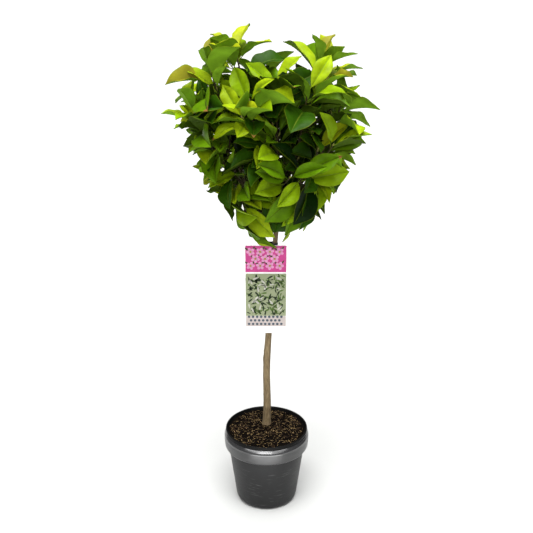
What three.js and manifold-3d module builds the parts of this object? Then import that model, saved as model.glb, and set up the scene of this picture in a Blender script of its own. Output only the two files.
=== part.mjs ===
// A potted standard magnolia: one clear stem under a leafy head, growing in a nursery pot that
// stands in a round planter, with a plain tag strapped to the stem.
// Millimetres, +Z up. The origin is the middle of the planter's flat underside and the front
// faces -Y.
import * as THREE from "three";
import { mergeVertices } from "three/addons/utils/BufferGeometryUtils.js";
import Module from "manifold-3d";

const wasm = await Module();
wasm.setup();

// Clearance that separate pieces keep where they meet
const GAP = 0.3;

// Planter, from its underside up to its lip
const PLANTER_HEIGHT = 198;
const PLANTER_RIM_RADIUS = 109.8;
const PLANTER_BAND_RADIUS = 108.4;
const PLANTER_BAND_LOW = 156;
const PLANTER_BAND_UNDERCUT = 6;
const PLANTER_BASE_RADIUS = 77.7;
const PLANTER_TAPER = 0.1375;
const PLANTER_FOOT_ROUND = 15;
const PLANTER_LIP_DROP = 10;
const PLANTER_LIP_RADIUS = 106.6;
const PLANTER_WALL = 3.4;
const PLANTER_FLOOR = 4;
const ROUND_SEGMENTS = 40;

// Nursery pot, standing inside the planter
const NURSERY_TOP = 204;
const NURSERY_RIM_RADIUS = 106;
const NURSERY_RIM_DEPTH = 7;
const NURSERY_RIM_WIDTH = 4;
const NURSERY_RIM_BEVEL = 1.5;
const NURSERY_BASE_RADIUS = 71.4;
const NURSERY_TAPER = 0.148;
const NURSERY_WALL = 1.6;

// Potting soil, nearly up to the nursery pot's rim and a little raised round the stem
const SOIL_EDGE_HEIGHT = 196.5;
const SOIL_CROWN_HEIGHT = 199.7;
const SOIL_CROWN_RADIUS = 45;

// Trunk, from the soil to its top
const TRUNK_FOOT = new THREE.Vector3(0.5, 20, SOIL_CROWN_HEIGHT + GAP);
const TRUNK_TOP = 862;
const TRUNK_LEAN = 38;
const TRUNK_LEAN_POWER = 2.5;
const TRUNK_SWAY = 1.3;
const TRUNK_SWAYS = 3;
const TRUNK_FOOT_RADIUS = 10.2;
const TRUNK_TOP_RADIUS = 4.6;
const TRUNK_FLARE = 2.4;
const TRUNK_FLARE_HEIGHT = 13;
const TRUNK_SIDES = 14;
const TRUNK_STEPS = 22;
const TRUNK_STEP_GROWTH = 1.25;

// Head: its middle line, and the space that all its leaves keep to
const HEAD_HEART = new THREE.Vector3(14, 16, 900);
const HEAD_BOTTOM = 697;
const HEAD_BOTTOM_RADIUS = 66;
const HEAD_WAIST = 1015;
const HEAD_RADIUS = 256;
const HEAD_TOP = 1212;
const HEAD_FLARE = 0.84;
const HEAD_ROUNDNESS = 2.5;

// Shoots, lowest first: where each one's tip is, by its bearing from the head's middle line
// (degrees from +X towards +Y), how far out it reaches and how high it stands
const SHOOTS = [
  { name: "left_skirt", bearing: -174, reach: 104, height: 826 },
  { name: "right_skirt", bearing: 16, reach: 70, height: 846 },
  { name: "front_skirt", bearing: -140, reach: 84, height: 876 },
  { name: "back_low", bearing: 100, reach: 88, height: 890 },
  { name: "left_low", bearing: -146, reach: 94, height: 904 },
  { name: "right_low", bearing: -30, reach: 116, height: 938 },
  { name: "left_middle", bearing: 176, reach: 122, height: 962 },
  { name: "front_low", bearing: -84, reach: 98, height: 956 },
  { name: "back_right", bearing: 48, reach: 126, height: 1000 },
  { name: "far_left", bearing: -162, reach: 182, height: 1022 },
  { name: "far_right", bearing: -8, reach: 156, height: 1036 },
  { name: "back_left", bearing: 138, reach: 134, height: 1028 },
  { name: "front_left", bearing: -116, reach: 116, height: 1052 },
  { name: "right_front", bearing: -48, reach: 112, height: 1072 },
  { name: "back_top", bearing: 104, reach: 94, height: 1070 },
  { name: "upper_left", bearing: -170, reach: 138, height: 1106 },
  { name: "upper_right", bearing: 18, reach: 124, height: 1112 },
  { name: "top_front", bearing: -84, reach: 64, height: 1078 },
  { name: "top_left", bearing: 174, reach: 84, height: 1160 },
  { name: "top_right", bearing: 2, reach: 104, height: 1128 },
];
const FORK_LOWEST = 728;
const FORK_STEP = 6.8;
const SHOOT_ELBOW_OUT = 0.66;
const SHOOT_ELBOW_UP = 0.3;
const BOUGH_SHARE = 0.32;
const SHOOT_FOOT_SHARE = 0.64;
const SHOOT_TIP_RADIUS = 2;
const BOUGH_SIDES = 5;
const BOUGH_STEPS = 4;
const STEM_SIDES = 3;
const STEM_STEPS = 4;

// Side twig on each shoot
const TWIG_PLACE = 0.58;
const TWIG_PLACE_VARIES = 0.05;
const TWIG_ANGLE = 50;
const TWIG_LENGTH = [55, 90];
const TWIG_LIFT = 0.25;
const TWIG_FOOT_RADIUS = 2.1;
const TWIG_TIP_RADIUS = 1.7;
const TWIG_SIDES = 3;
const TWIG_STEPS = 2;
const TWIG_CLEARANCE = 9;
const TWIG_TRIES = 8;

// Leaves: the first stands at the tip, and each further one is older, longer, wider, more
// spread and more bent over
const FIRST_LEAF = 2;
const FIRST_SPACING = 6;
const SPACING_GROWTH = 0.9;
const BARE_FOOT = 0.05;
const OLD_LEAF = 60;
const GOLDEN_ANGLE = 137.508;
const LEAF_LENGTH = [94, 138];
const LEAF_WIDTH = [0.36, 0.45];
const LEAF_SPREAD = [36, 80];
const LEAF_SPREAD_VARIES = 12;
const LEAF_SPREADS_BY = 0.67;
const LEAF_GROWN_BY = 0.45;
const LEAF_BEND = [30, 70];
const LEAF_BEND_LEVEL = 0.75;
const LEAF_SAG = [0.15, 0.95];
const LEAF_SAG_TOP = 0.2;
const LEAF_SAG_VARIES = 0.5;
const LEAF_OUTWARD = [0.3, 0.9];
const LEAF_LIGHT_STEM = 0.4;
const LEAF_LIGHT_UP = [0.5, 0.6];
const LEAF_LIGHT_OUT = [0.5, 0.8];
const LEAF_ROLL = 38;
const LEAF_VARIES = 0.14;
const LEAF_WANDER = [15, 170];
const LEAF_SHRINK = 0.28;
const LEAF_THICKNESS = 1.8;
const LEAF_RINGS = [0.38, 0.66];
const PETIOLE_SHARE = 0.14;
const PETIOLE_RADIUS = 1;
const OUTLINE_RISE = 1.1;
const OUTLINE_FALL = 1.0;
const LEAF_CLEARANCE = 9.5;
const SISTER_CLEARANCE = 4;
const LIMB_CLEARANCE = 5.5;
const OWN_LIMB_CLEARANCE = 3;
const LEAF_TRIES = 60;
const STALK_PROBE = 0.08;
const STALK_PROBES = 3;
const BLADE_PROBE = 0.3;
const BLADE_PROBES = 12;
const LEAF_PROBES_ACROSS = [-1, -0.67, -0.33, 0, 0.33, 0.67, 1];
const LEAF_NEAR = 150;
const LIMB_PROBES = 30;
const TRUNK_PROBES = 60;
const HEAD_SEED = 4211;
const SEED_STEP = 97;
const DRAW_FACTOR = 48271;
const DRAW_RANGE = 2147483647;

// Tag, hanging in front of the trunk, and the strap that holds it
const TAG_WIDTH = 101.4;
const TAG_MIDDLE = -1.5;
const TAG_TOP = 697;
const TAG_BOTTOM = 465.5;
const TAG_THICKNESS = 0.8;
const TAG_CORNER = 2.5;
const STRAP_LEFT = -8;
const STRAP_THICKNESS = 0.9;
const STRAP_HEIGHT = 8;
const STRAP_RISE = 5;
const STRAP_EASE = 0.6;

const UP = new THREE.Vector3(0, 0, 1);
const RIGHT = new THREE.Vector3(1, 0, 0);

const BARK = new THREE.MeshStandardMaterial({ color: 0x8a7862, roughness: 0.85 });
const TWIG_BARK = new THREE.MeshStandardMaterial({ color: 0x6b5238, roughness: 0.8 });
const LEAF = new THREE.MeshStandardMaterial({ color: 0x4f8a12, roughness: 0.5 });
const PLANTER_GREY = new THREE.MeshStandardMaterial({ color: 0x4c4c4e, roughness: 0.45 });
const NURSERY_BLACK = new THREE.MeshStandardMaterial({ color: 0x17181a, roughness: 0.5 });
const SOIL = new THREE.MeshStandardMaterial({ color: 0x2a2018, roughness: 1 });
const TAG_WHITE = new THREE.MeshStandardMaterial({ color: 0xf4f4f2, roughness: 0.4 });
const STRAP_BLACK = new THREE.MeshStandardMaterial({ color: 0x141414, roughness: 0.5 });

const radians = THREE.MathUtils.degToRad;
const lerp = THREE.MathUtils.lerp;

/** Draws the same run of numbers between 0 and 1 for the same seed. */
function seededDraw(seed) {
  let state = seed;
  return () => {
    state = (state * DRAW_FACTOR) % DRAW_RANGE;
    return state / DRAW_RANGE;
  };
}

/** A number as far above or below zero as `size`, from one draw. */
function swing(draw, size) {
  return (draw() * 2 - 1) * size;
}

/** The unit vector nearest to `hint` that is square to `axis`. */
function squareTo(axis, hint) {
  return hint.clone().addScaledVector(axis, -hint.dot(axis)).normalize();
}

/** A closed three.js geometry as a solid that can be joined and cut. */
function toSolid(geometry) {
  const bare = geometry.clone();
  bare.deleteAttribute("normal");
  bare.deleteAttribute("uv");
  const merged = mergeVertices(bare, 1e-4);
  return new wasm.Manifold(
    new wasm.Mesh({
      numProp: 3,
      vertProperties: new Float32Array(merged.attributes.position.array),
      triVerts: new Uint32Array(merged.index.array),
    }),
  );
}

/** A joined or cut solid as a three.js geometry. */
function toGeometry(solid) {
  const made = solid.getMesh();
  const geometry = new THREE.BufferGeometry();
  geometry.setAttribute("position", new THREE.BufferAttribute(made.vertProperties, 3));
  geometry.setIndex(new THREE.BufferAttribute(made.triVerts, 1));
  geometry.computeVertexNormals();
  return geometry;
}

/** A closed skin over rings of equally many points, with flat ends or a last single point. */
function skin(rings) {
  const points = rings.flat();
  const count = rings[0].length;
  const faces = [];
  for (let i = 1; i + 1 < count; i++) faces.push(0, i + 1, i);
  rings.slice(1).forEach((ring, step) => {
    const low = step * count;
    const high = low + count;
    for (let i = 0; i < count; i++) {
      const next = (i + 1) % count;
      if (ring.length === 1) faces.push(low + i, low + next, high);
      else faces.push(low + i, low + next, high + next, low + i, high + next, high + i);
    }
  });
  const last = points.length - count;
  if (rings.at(-1).length > 1) {
    for (let i = 1; i + 1 < count; i++) faces.push(last, last + i, last + i + 1);
  }
  const geometry = new THREE.BufferGeometry().setFromPoints(points);
  geometry.setIndex(faces);
  geometry.computeVertexNormals();
  return geometry;
}

/** A tapering limb whose middle line and radius are functions of a share from 0 to 1. */
function limb(pointAt, directionAt, radiusAt, hint, sides, steps) {
  const rings = [];
  for (let step = 0; step <= steps; step++) {
    const share = step / steps;
    const centre = pointAt(share);
    const across = squareTo(directionAt(share), hint);
    const over = directionAt(share).clone().cross(across);
    const ring = [];
    for (let side = 0; side < sides; side++) {
      const angle = (side / sides) * 2 * Math.PI;
      ring.push(
        centre
          .clone()
          .addScaledVector(across, Math.cos(angle) * radiusAt(share))
          .addScaledVector(over, Math.sin(angle) * radiusAt(share)),
      );
    }
    rings.push(ring);
  }
  return skin(rings);
}

/** A body turned about the vertical axis from an outline of [radius, height] points. */
function turned(outline) {
  const profile = outline.map(([radius, height]) => new THREE.Vector2(radius, height));
  return new THREE.LatheGeometry(profile, ROUND_SEGMENTS).rotateX(Math.PI / 2);
}

/** Points on a quarter of an ellipse from one [radius, height] point to another. */
function quarterRound([fromRadius, fromHeight], [toRadius, toHeight], startsLevel, steps = 4) {
  return Array.from({ length: steps + 1 }, (_, step) => {
    const turn = ((step / steps) * Math.PI) / 2;
    const [slow, fast] = [1 - Math.cos(turn), Math.sin(turn)];
    const [across, along] = startsLevel ? [fast, slow] : [slow, fast];
    return [lerp(fromRadius, toRadius, across), lerp(fromHeight, toHeight, along)];
  });
}

function planterWallRadius(height) {
  return PLANTER_BASE_RADIUS + PLANTER_TAPER * height;
}

function planter() {
  const underBand = PLANTER_BAND_LOW - PLANTER_BAND_UNDERCUT;
  return turned([
    [0, 0],
    ...quarterRound(
      [PLANTER_BASE_RADIUS - PLANTER_FOOT_ROUND, 0],
      [planterWallRadius(PLANTER_FOOT_ROUND), PLANTER_FOOT_ROUND],
      true,
    ),
    [planterWallRadius(underBand), underBand],
    [PLANTER_BAND_RADIUS, PLANTER_BAND_LOW],
    ...quarterRound(
      [PLANTER_RIM_RADIUS, PLANTER_HEIGHT - PLANTER_LIP_DROP],
      [PLANTER_LIP_RADIUS, PLANTER_HEIGHT],
      false,
    ),
    [PLANTER_BAND_RADIUS - PLANTER_WALL, PLANTER_BAND_LOW],
    [planterWallRadius(underBand) - PLANTER_WALL, underBand],
    [planterWallRadius(PLANTER_FLOOR) - PLANTER_WALL, PLANTER_FLOOR],
    [0, PLANTER_FLOOR],
  ]);
}

const nurseryFloor = PLANTER_FLOOR + GAP;

function nurseryWallRadius(height) {
  return NURSERY_BASE_RADIUS + NURSERY_TAPER * height;
}

function nurseryPot() {
  const rimLow = NURSERY_TOP - NURSERY_RIM_DEPTH;
  return turned([
    [0, nurseryFloor],
    [nurseryWallRadius(nurseryFloor), nurseryFloor],
    [nurseryWallRadius(rimLow), rimLow],
    [NURSERY_RIM_RADIUS, rimLow],
    [NURSERY_RIM_RADIUS, NURSERY_TOP - NURSERY_RIM_BEVEL],
    [NURSERY_RIM_RADIUS - NURSERY_RIM_BEVEL, NURSERY_TOP],
    [NURSERY_RIM_RADIUS - NURSERY_RIM_WIDTH, NURSERY_TOP],
    [nurseryWallRadius(rimLow) - NURSERY_WALL, rimLow],
    [nurseryWallRadius(nurseryFloor) - NURSERY_WALL, nurseryFloor + NURSERY_WALL],
    [0, nurseryFloor + NURSERY_WALL],
  ]);
}

function soil() {
  const floor = nurseryFloor + NURSERY_WALL + GAP;
  const wall = (height) => nurseryWallRadius(height) - NURSERY_WALL - GAP;
  return turned([
    [0, floor],
    [wall(floor) - GAP, floor],
    [wall(SOIL_EDGE_HEIGHT), SOIL_EDGE_HEIGHT],
    [SOIL_CROWN_RADIUS, SOIL_CROWN_HEIGHT],
    [0, SOIL_CROWN_HEIGHT],
  ]);
}

/** The trunk's middle at a height. It leans more the higher it goes, and sways a little. */
function trunkAxis(height) {
  const share = (height - TRUNK_FOOT.z) / (TRUNK_TOP - TRUNK_FOOT.z);
  const lean = TRUNK_LEAN * share ** TRUNK_LEAN_POWER;
  const sway = TRUNK_SWAY * Math.sin(2 * Math.PI * TRUNK_SWAYS * share);
  return new THREE.Vector3(TRUNK_FOOT.x + lean + sway, TRUNK_FOOT.y, height);
}

function trunkRadius(height) {
  const above = height - TRUNK_FOOT.z;
  const share = above / (TRUNK_TOP - TRUNK_FOOT.z);
  const flare = TRUNK_FLARE * Math.exp(-above / TRUNK_FLARE_HEIGHT);
  return lerp(TRUNK_FOOT_RADIUS, TRUNK_TOP_RADIUS, share) + flare;
}

/** The trunk, or the same shape grown by `extra` all round, which cuts the boughs clear of it. */
function trunk(extra = 0) {
  const low = TRUNK_FOOT.z;
  const heightAt = (share) => lerp(low, TRUNK_TOP + extra, share ** TRUNK_STEP_GROWTH);
  return limb(
    (share) => trunkAxis(heightAt(share)),
    () => UP,
    (share) => trunkRadius(heightAt(share)) + extra,
    RIGHT,
    TRUNK_SIDES,
    TRUNK_STEPS,
  );
}

/** How far from the head's middle line the leaves may reach at a height. */
function headRadius(height) {
  if (height < HEAD_BOTTOM || height > HEAD_TOP) return 0;
  if (height < HEAD_WAIST) {
    const share = (height - HEAD_BOTTOM) / (HEAD_WAIST - HEAD_BOTTOM);
    return lerp(HEAD_BOTTOM_RADIUS, HEAD_RADIUS, share ** HEAD_FLARE);
  }
  const share = (height - HEAD_WAIST) / (HEAD_TOP - HEAD_WAIST);
  return HEAD_RADIUS * (1 - share ** HEAD_ROUNDNESS) ** (1 / HEAD_ROUNDNESS);
}

function insideHead(point) {
  return Math.hypot(point.x - HEAD_HEART.x, point.y - HEAD_HEART.y) < headRadius(point.z);
}

/** A curved axis through three points: its points, its directions and its speed. */
function arc(start, elbow, tip) {
  const curve = new THREE.QuadraticBezierCurve3(start, elbow, tip);
  const first = elbow.clone().sub(start);
  const second = tip.clone().sub(elbow);
  const velocity = (share) => first.clone().lerp(second, share).multiplyScalar(2);
  return {
    pointAt: (share) => curve.getPoint(share),
    directionAt: (share) => velocity(share).normalize(),
    speedAt: (share) => velocity(share).length(),
  };
}

/** A shoot's axis, from the trunk's middle at its fork out to its tip, and its frame. */
function plannedShoot(plan, order) {
  const bearing = radians(plan.bearing);
  const out = new THREE.Vector3(Math.cos(bearing), Math.sin(bearing), 0);
  const fork = FORK_LOWEST + FORK_STEP * order;
  const start = trunkAxis(fork);
  const footRadius = SHOOT_FOOT_SHARE * trunkRadius(fork);
  const tip = HEAD_HEART.clone().setZ(plan.height).addScaledVector(out, plan.reach);
  const elbow = start.clone().lerp(tip, SHOOT_ELBOW_OUT);
  elbow.z = lerp(start.z, tip.z, SHOOT_ELBOW_UP);
  return {
    name: plan.name,
    axis: arc(start, elbow, tip),
    length: start.distanceTo(tip),
    radiusAt: (share) => lerp(footRadius, SHOOT_TIP_RADIUS, share),
    across: UP.clone().cross(out),
    bareFoot: BOUGH_SHARE + BARE_FOOT,
    draw: seededDraw(HEAD_SEED + SEED_STEP * order),
    twigs: [],
    leaves: [],
  };
}

/** Points along a branch of a shoot, each with the radius that nothing else may enter. */
function limbProbes(branch, shoot) {
  return Array.from({ length: LIMB_PROBES + 1 }, (_, step) => ({
    at: branch.axis.pointAt(step / LIMB_PROBES),
    radius: branch.radiusAt(step / LIMB_PROBES),
    shoot,
  }));
}

function trunkProbes() {
  const steps = TRUNK_PROBES;
  return Array.from({ length: steps + 1 }, (_, step) => {
    const height = lerp(TRUNK_FOOT.z, TRUNK_TOP, step / steps);
    return { at: trunkAxis(height), radius: trunkRadius(height), shoot: null };
  });
}

function clearOfLimbs(points, probes, clearance) {
  return points.every((point) =>
    probes.every(({ at, radius }) => point.distanceTo(at) > radius + clearance),
  );
}

function apart(points, others, clearance) {
  const least = clearance * clearance;
  return points.every((point) => others.every((other) => point.distanceToSquared(other) > least));
}

/** A shoot's side twigs: one, or none where there is no room for it. */
function sideTwigs(shoot, probes) {
  const { draw, axis } = shoot;
  for (let attempt = 0; attempt < TWIG_TRIES; attempt++) {
    const share = TWIG_PLACE + swing(draw, TWIG_PLACE_VARIES);
    const turn = 2 * Math.PI * draw();
    const length = lerp(...TWIG_LENGTH, draw());
    const along = axis.directionAt(share);
    const across = squareTo(along, shoot.across);
    const over = along.clone().cross(across);
    const aim = across.clone().multiplyScalar(Math.cos(turn)).addScaledVector(over, Math.sin(turn));
    const heading = along
      .clone()
      .multiplyScalar(Math.cos(radians(TWIG_ANGLE)))
      .addScaledVector(aim, Math.sin(radians(TWIG_ANGLE)));
    const start = axis.pointAt(share);
    const elbow = start.clone().addScaledVector(heading, length / 2);
    const tip = start.clone().addScaledVector(heading, length);
    tip.addScaledVector(UP, TWIG_LIFT * length);
    const twig = {
      axis: arc(start, elbow, tip),
      length,
      radiusAt: (part) => lerp(TWIG_FOOT_RADIUS, TWIG_TIP_RADIUS, part),
      across: squareTo(heading, UP.clone().cross(heading)),
      bareFoot: 2 * BARE_FOOT,
      draw,
      leaves: [],
    };
    const points = limbProbes(twig, shoot).map(({ at }) => at);
    const outer = points.slice(LIMB_PROBES / 2);
    const strangers = probes.filter((probe) => probe.shoot !== shoot);
    if (!points.every(insideHead)) continue;
    if (!clearOfLimbs(outer, probes, TWIG_CLEARANCE)) continue;
    if (clearOfLimbs(points, strangers, TWIG_CLEARANCE)) return [twig];
  }
  return [];
}

/** Half the blade's width at a share of the leaf's length, as a share of its widest. */
function outline(share) {
  const blade = Math.max(0, (share - PETIOLE_SHARE) / (1 - PETIOLE_SHARE));
  const widest = OUTLINE_RISE / (OUTLINE_RISE + OUTLINE_FALL);
  const shape = (part) => part ** OUTLINE_RISE * (1 - part) ** OUTLINE_FALL;
  return shape(blade) / shape(widest);
}

/** A point of a leaf: `share` along its bent midrib, `width` out from it and `depth` under it. */
function leafPoint(leaf, share, width, depth = 0) {
  const turned = leaf.bend * share;
  const forward = (leaf.length * Math.sin(turned)) / leaf.bend;
  const down = (leaf.length * (1 - Math.cos(turned))) / leaf.bend;
  return leaf.root
    .clone()
    .addScaledVector(leaf.along, forward - depth * Math.sin(turned))
    .addScaledVector(leaf.face, -down - depth * Math.cos(turned))
    .addScaledVector(leaf.across, width);
}

/** Half a leaf's width in the solid, which widens evenly from its stalk to its first ring. */
function solidWidth(leaf, share) {
  const first = LEAF_RINGS[0];
  const full = leaf.halfWidth * outline(Math.max(share, first));
  const grown = (share - PETIOLE_SHARE) / (first - PETIOLE_SHARE);
  return Math.max(PETIOLE_RADIUS, full * Math.min(1, grown));
}

/** Points all over a leaf, on its stalk and on its blade, which keep clear of everything else. */
function leafProbes(leaf) {
  const row = (share) =>
    LEAF_PROBES_ACROSS.map((side) => leafPoint(leaf, share, side * solidWidth(leaf, share)));
  const rows = (from, to, count) =>
    Array.from({ length: count }, (_, step) => row(lerp(from, to, step / (count - 1)))).flat();
  return {
    stalk: rows(STALK_PROBE, BLADE_PROBE, STALK_PROBES),
    blade: rows(BLADE_PROBE, 1, BLADE_PROBES),
    at: leafPoint(leaf, 0.5, 0),
  };
}

/** One leaf of a twig or shoot, `fromTip` back from its tip, as one try of the rule. */
function triedLeaf(branch, order, fromTip, attempt) {
  const { draw, axis, length } = branch;
  const age = Math.min(1, fromTip / OLD_LEAF);
  const share = 1 - fromTip / length;
  const effort = attempt / LEAF_TRIES;
  const turn = radians(GOLDEN_ANGLE * order + swing(draw, lerp(...LEAF_WANDER, effort)));
  const varied = () => 1 + swing(draw, LEAF_VARIES);
  const grown = Math.min(1, age / LEAF_GROWN_BY);
  const opened = Math.min(1, age / LEAF_SPREADS_BY);
  const spread = radians(lerp(...LEAF_SPREAD, opened) + swing(draw, LEAF_SPREAD_VARIES));
  const stem = axis.directionAt(share);
  const across = squareTo(stem, branch.across);
  const over = stem.clone().cross(across);
  const aim = across.clone().multiplyScalar(Math.cos(turn)).addScaledVector(over, Math.sin(turn));
  const root = axis.pointAt(share);
  const out = root.clone().sub(HEAD_HEART).normalize();
  const height = (root.z - HEAD_BOTTOM) / (HEAD_TOP - HEAD_BOTTOM);
  const hanging = lerp(...LEAF_SAG, age) * lerp(1, LEAF_SAG_TOP, height);
  const sag = hanging * (1 + swing(draw, LEAF_SAG_VARIES));
  const along = stem
    .clone()
    .multiplyScalar(Math.cos(spread))
    .addScaledVector(aim, Math.sin(spread))
    .addScaledVector(out, lerp(...LEAF_OUTWARD, age))
    .addScaledVector(UP, -sag)
    .normalize();
  const light = stem
    .clone()
    .multiplyScalar(LEAF_LIGHT_STEM * (1 - age))
    .addScaledVector(UP, lerp(...LEAF_LIGHT_UP, age))
    .addScaledVector(out, lerp(...LEAF_LIGHT_OUT, age));
  const facing = squareTo(along, light);
  const roll = radians(swing(draw, LEAF_ROLL));
  const face = facing
    .clone()
    .multiplyScalar(Math.cos(roll))
    .addScaledVector(along.clone().cross(facing), Math.sin(roll));
  const leafLength = lerp(...LEAF_LENGTH, grown) * varied() * (1 - LEAF_SHRINK * effort);
  const weight = lerp(LEAF_BEND_LEVEL, 1, along.z);
  return {
    root,
    along,
    face,
    across: face.clone().cross(along),
    length: leafLength,
    halfWidth: (leafLength * lerp(...LEAF_WIDTH, grown) * varied()) / 2,
    bend: radians(lerp(...LEAF_BEND, age) * varied() * weight),
  };
}

/** Whether a leaf keeps to the head's space and clear of the limbs and the leaves before it. */
function hasRoom({ stalk, blade, at }, shoot, limbs, placed) {
  const whole = [...stalk, ...blade];
  if (!whole.every(insideHead)) return false;
  const near = (things) => things.filter((thing) => thing.at.distanceTo(at) < LEAF_NEAR);
  const nearLimbs = near(limbs);
  const own = nearLimbs.filter((limb) => limb.shoot === shoot);
  const strangers = nearLimbs.filter((limb) => limb.shoot !== shoot);
  if (!clearOfLimbs(blade, own, OWN_LIMB_CLEARANCE)) return false;
  if (!clearOfLimbs(whole, strangers, LIMB_CLEARANCE)) return false;
  return near(placed).every((other) =>
    other.shoot === shoot
      ? apart(blade, other.blade, SISTER_CLEARANCE)
      : apart(whole, [...other.stalk, ...other.blade], LEAF_CLEARANCE),
  );
}

/** How far back from a branch's tip its leaves stand. */
function leafPlaces(branch) {
  const places = [];
  const last = branch.length * (1 - branch.bareFoot);
  let spacing = FIRST_SPACING;
  for (let fromTip = FIRST_LEAF; fromTip < last; fromTip += spacing) {
    places.push(fromTip);
    spacing += SPACING_GROWTH;
  }
  return places;
}

/** Grows all shoots, then their twigs, then the leaves, youngest first on every branch. */
function grownShoots() {
  const shoots = SHOOTS.map(plannedShoot);
  const limbs = trunkProbes();
  for (const shoot of shoots) limbs.push(...limbProbes(shoot, shoot));
  for (const shoot of shoots) {
    shoot.twigs = sideTwigs(shoot, limbs);
    for (const twig of shoot.twigs) limbs.push(...limbProbes(twig, shoot));
  }
  const plans = shoots.flatMap((shoot) =>
    [shoot, ...shoot.twigs].map((branch) => ({ shoot, branch, places: leafPlaces(branch) })),
  );
  const most = Math.max(...plans.map(({ places }) => places.length));
  const placed = [];
  for (let order = 0; order < most; order++) {
    for (const { shoot, branch, places } of plans) {
      if (order >= places.length) continue;
      for (let attempt = 0; attempt < LEAF_TRIES; attempt++) {
        const leaf = triedLeaf(branch, order, places[order], attempt);
        const probes = leafProbes(leaf);
        if (!hasRoom(probes, shoot, limbs, placed)) continue;
        branch.leaves.push(leaf);
        placed.push({ ...probes, shoot });
        break;
      }
    }
  }
  return shoots;
}

/** A leaf as a thin solid: a slim stalk, then a bent blade with sharp edges and a keel. */
function leafSolid(leaf) {
  const ring = (share) => [
    leafPoint(leaf, share, solidWidth(leaf, share)),
    leafPoint(leaf, share, -solidWidth(leaf, share)),
    leafPoint(leaf, share, 0, LEAF_THICKNESS),
  ];
  const rings = [0, PETIOLE_SHARE, ...LEAF_RINGS].map(ring);
  return toSolid(skin([...rings, [leafPoint(leaf, 1, 0)]]));
}

/** A shoot's bough, from just clear of the trunk to where its leaves begin. */
function bough(shoot, fatTrunk) {
  const whole = limb(
    (share) => shoot.axis.pointAt(share * BOUGH_SHARE),
    (share) => shoot.axis.directionAt(share * BOUGH_SHARE),
    (share) => shoot.radiusAt(share * BOUGH_SHARE),
    shoot.across,
    BOUGH_SIDES,
    BOUGH_STEPS,
  );
  const pieces = toSolid(whole).subtract(fatTrunk).decompose();
  return toGeometry(pieces.sort((a, b) => b.volume() - a.volume())[0]);
}

/** A shoot's mass of foliage: its stem beyond the bough, its twigs and all its leaves. */
function foliage(shoot) {
  const foot = BOUGH_SHARE + GAP / shoot.axis.speedAt(BOUGH_SHARE);
  const shareAt = (part) => lerp(foot, 1, part);
  const stem = limb(
    (part) => shoot.axis.pointAt(shareAt(part)),
    (part) => shoot.axis.directionAt(shareAt(part)),
    (part) => shoot.radiusAt(shareAt(part)),
    shoot.across,
    STEM_SIDES,
    STEM_STEPS,
  );
  const twigs = shoot.twigs.map(({ axis, radiusAt, across }) =>
    limb(axis.pointAt, axis.directionAt, radiusAt, across, TWIG_SIDES, TWIG_STEPS),
  );
  const leaves = [shoot, ...shoot.twigs].flatMap((branch) => branch.leaves.map(leafSolid));
  const joined = wasm.Manifold.union([...[stem, ...twigs].map(toSolid), ...leaves]);
  return toGeometry(joined);
}

// The tag's back just clears the trunk at the tag's lower edge, where the trunk is thickest
const tagBack = TRUNK_FOOT.y - trunkRadius(TAG_BOTTOM) - GAP;

function tagCard() {
  const half = TAG_WIDTH / 2;
  const shape = new THREE.Shape();
  shape.moveTo(-half + TAG_CORNER, TAG_BOTTOM);
  shape.lineTo(half - TAG_CORNER, TAG_BOTTOM);
  shape.quadraticCurveTo(half, TAG_BOTTOM, half, TAG_BOTTOM + TAG_CORNER);
  shape.lineTo(half, TAG_TOP - TAG_CORNER);
  shape.quadraticCurveTo(half, TAG_TOP, half - TAG_CORNER, TAG_TOP);
  shape.lineTo(-half + TAG_CORNER, TAG_TOP);
  shape.quadraticCurveTo(-half, TAG_TOP, -half, TAG_TOP - TAG_CORNER);
  shape.lineTo(-half, TAG_BOTTOM + TAG_CORNER);
  shape.quadraticCurveTo(-half, TAG_BOTTOM, -half + TAG_CORNER, TAG_BOTTOM);
  const card = new THREE.ExtrudeGeometry(shape, {
    depth: TAG_THICKNESS,
    bevelEnabled: false,
    curveSegments: 3,
  });
  return card.rotateX(Math.PI / 2).translate(TAG_MIDDLE, tagBack, 0);
}

/** A flat loop that lies behind the tag and round the back of the trunk. */
function tagStrap() {
  const height = TAG_TOP + STRAP_RISE - STRAP_HEIGHT;
  const stem = trunkAxis(TAG_TOP);
  const stemRadius = trunkRadius(height) + STRAP_EASE;
  const inner = {
    left: STRAP_LEFT + STRAP_THICKNESS,
    right: stem.x + stemRadius,
    front: tagBack + GAP + STRAP_THICKNESS,
    back: stem.y + stemRadius,
  };
  const loop = (extra, into) => {
    const radius = (inner.back - inner.front) / 2 + extra;
    const middle = (inner.back + inner.front) / 2;
    into.absarc(inner.right - radius + extra, middle, radius, -Math.PI / 2, Math.PI / 2, false);
    into.absarc(inner.left + radius - extra, middle, radius, Math.PI / 2, 1.5 * Math.PI, false);
    into.closePath();
    return into;
  };
  const band = loop(STRAP_THICKNESS, new THREE.Shape());
  band.holes.push(loop(0, new THREE.Path()));
  const strap = new THREE.ExtrudeGeometry(band, {
    depth: STRAP_HEIGHT,
    bevelEnabled: false,
    curveSegments: 8,
  });
  return strap.translate(0, 0, height);
}

function piece(name, geometry, material) {
  const mesh = new THREE.Mesh(geometry, material);
  mesh.name = name;
  return mesh;
}

const magnolia = new THREE.Group();
magnolia.name = "potted_standard_magnolia";

const container = new THREE.Group();
container.add(piece("planter", planter(), PLANTER_GREY));
container.add(piece("nursery_pot", nurseryPot(), NURSERY_BLACK));
container.add(piece("soil", soil(), SOIL));
magnolia.add(container);

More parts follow.
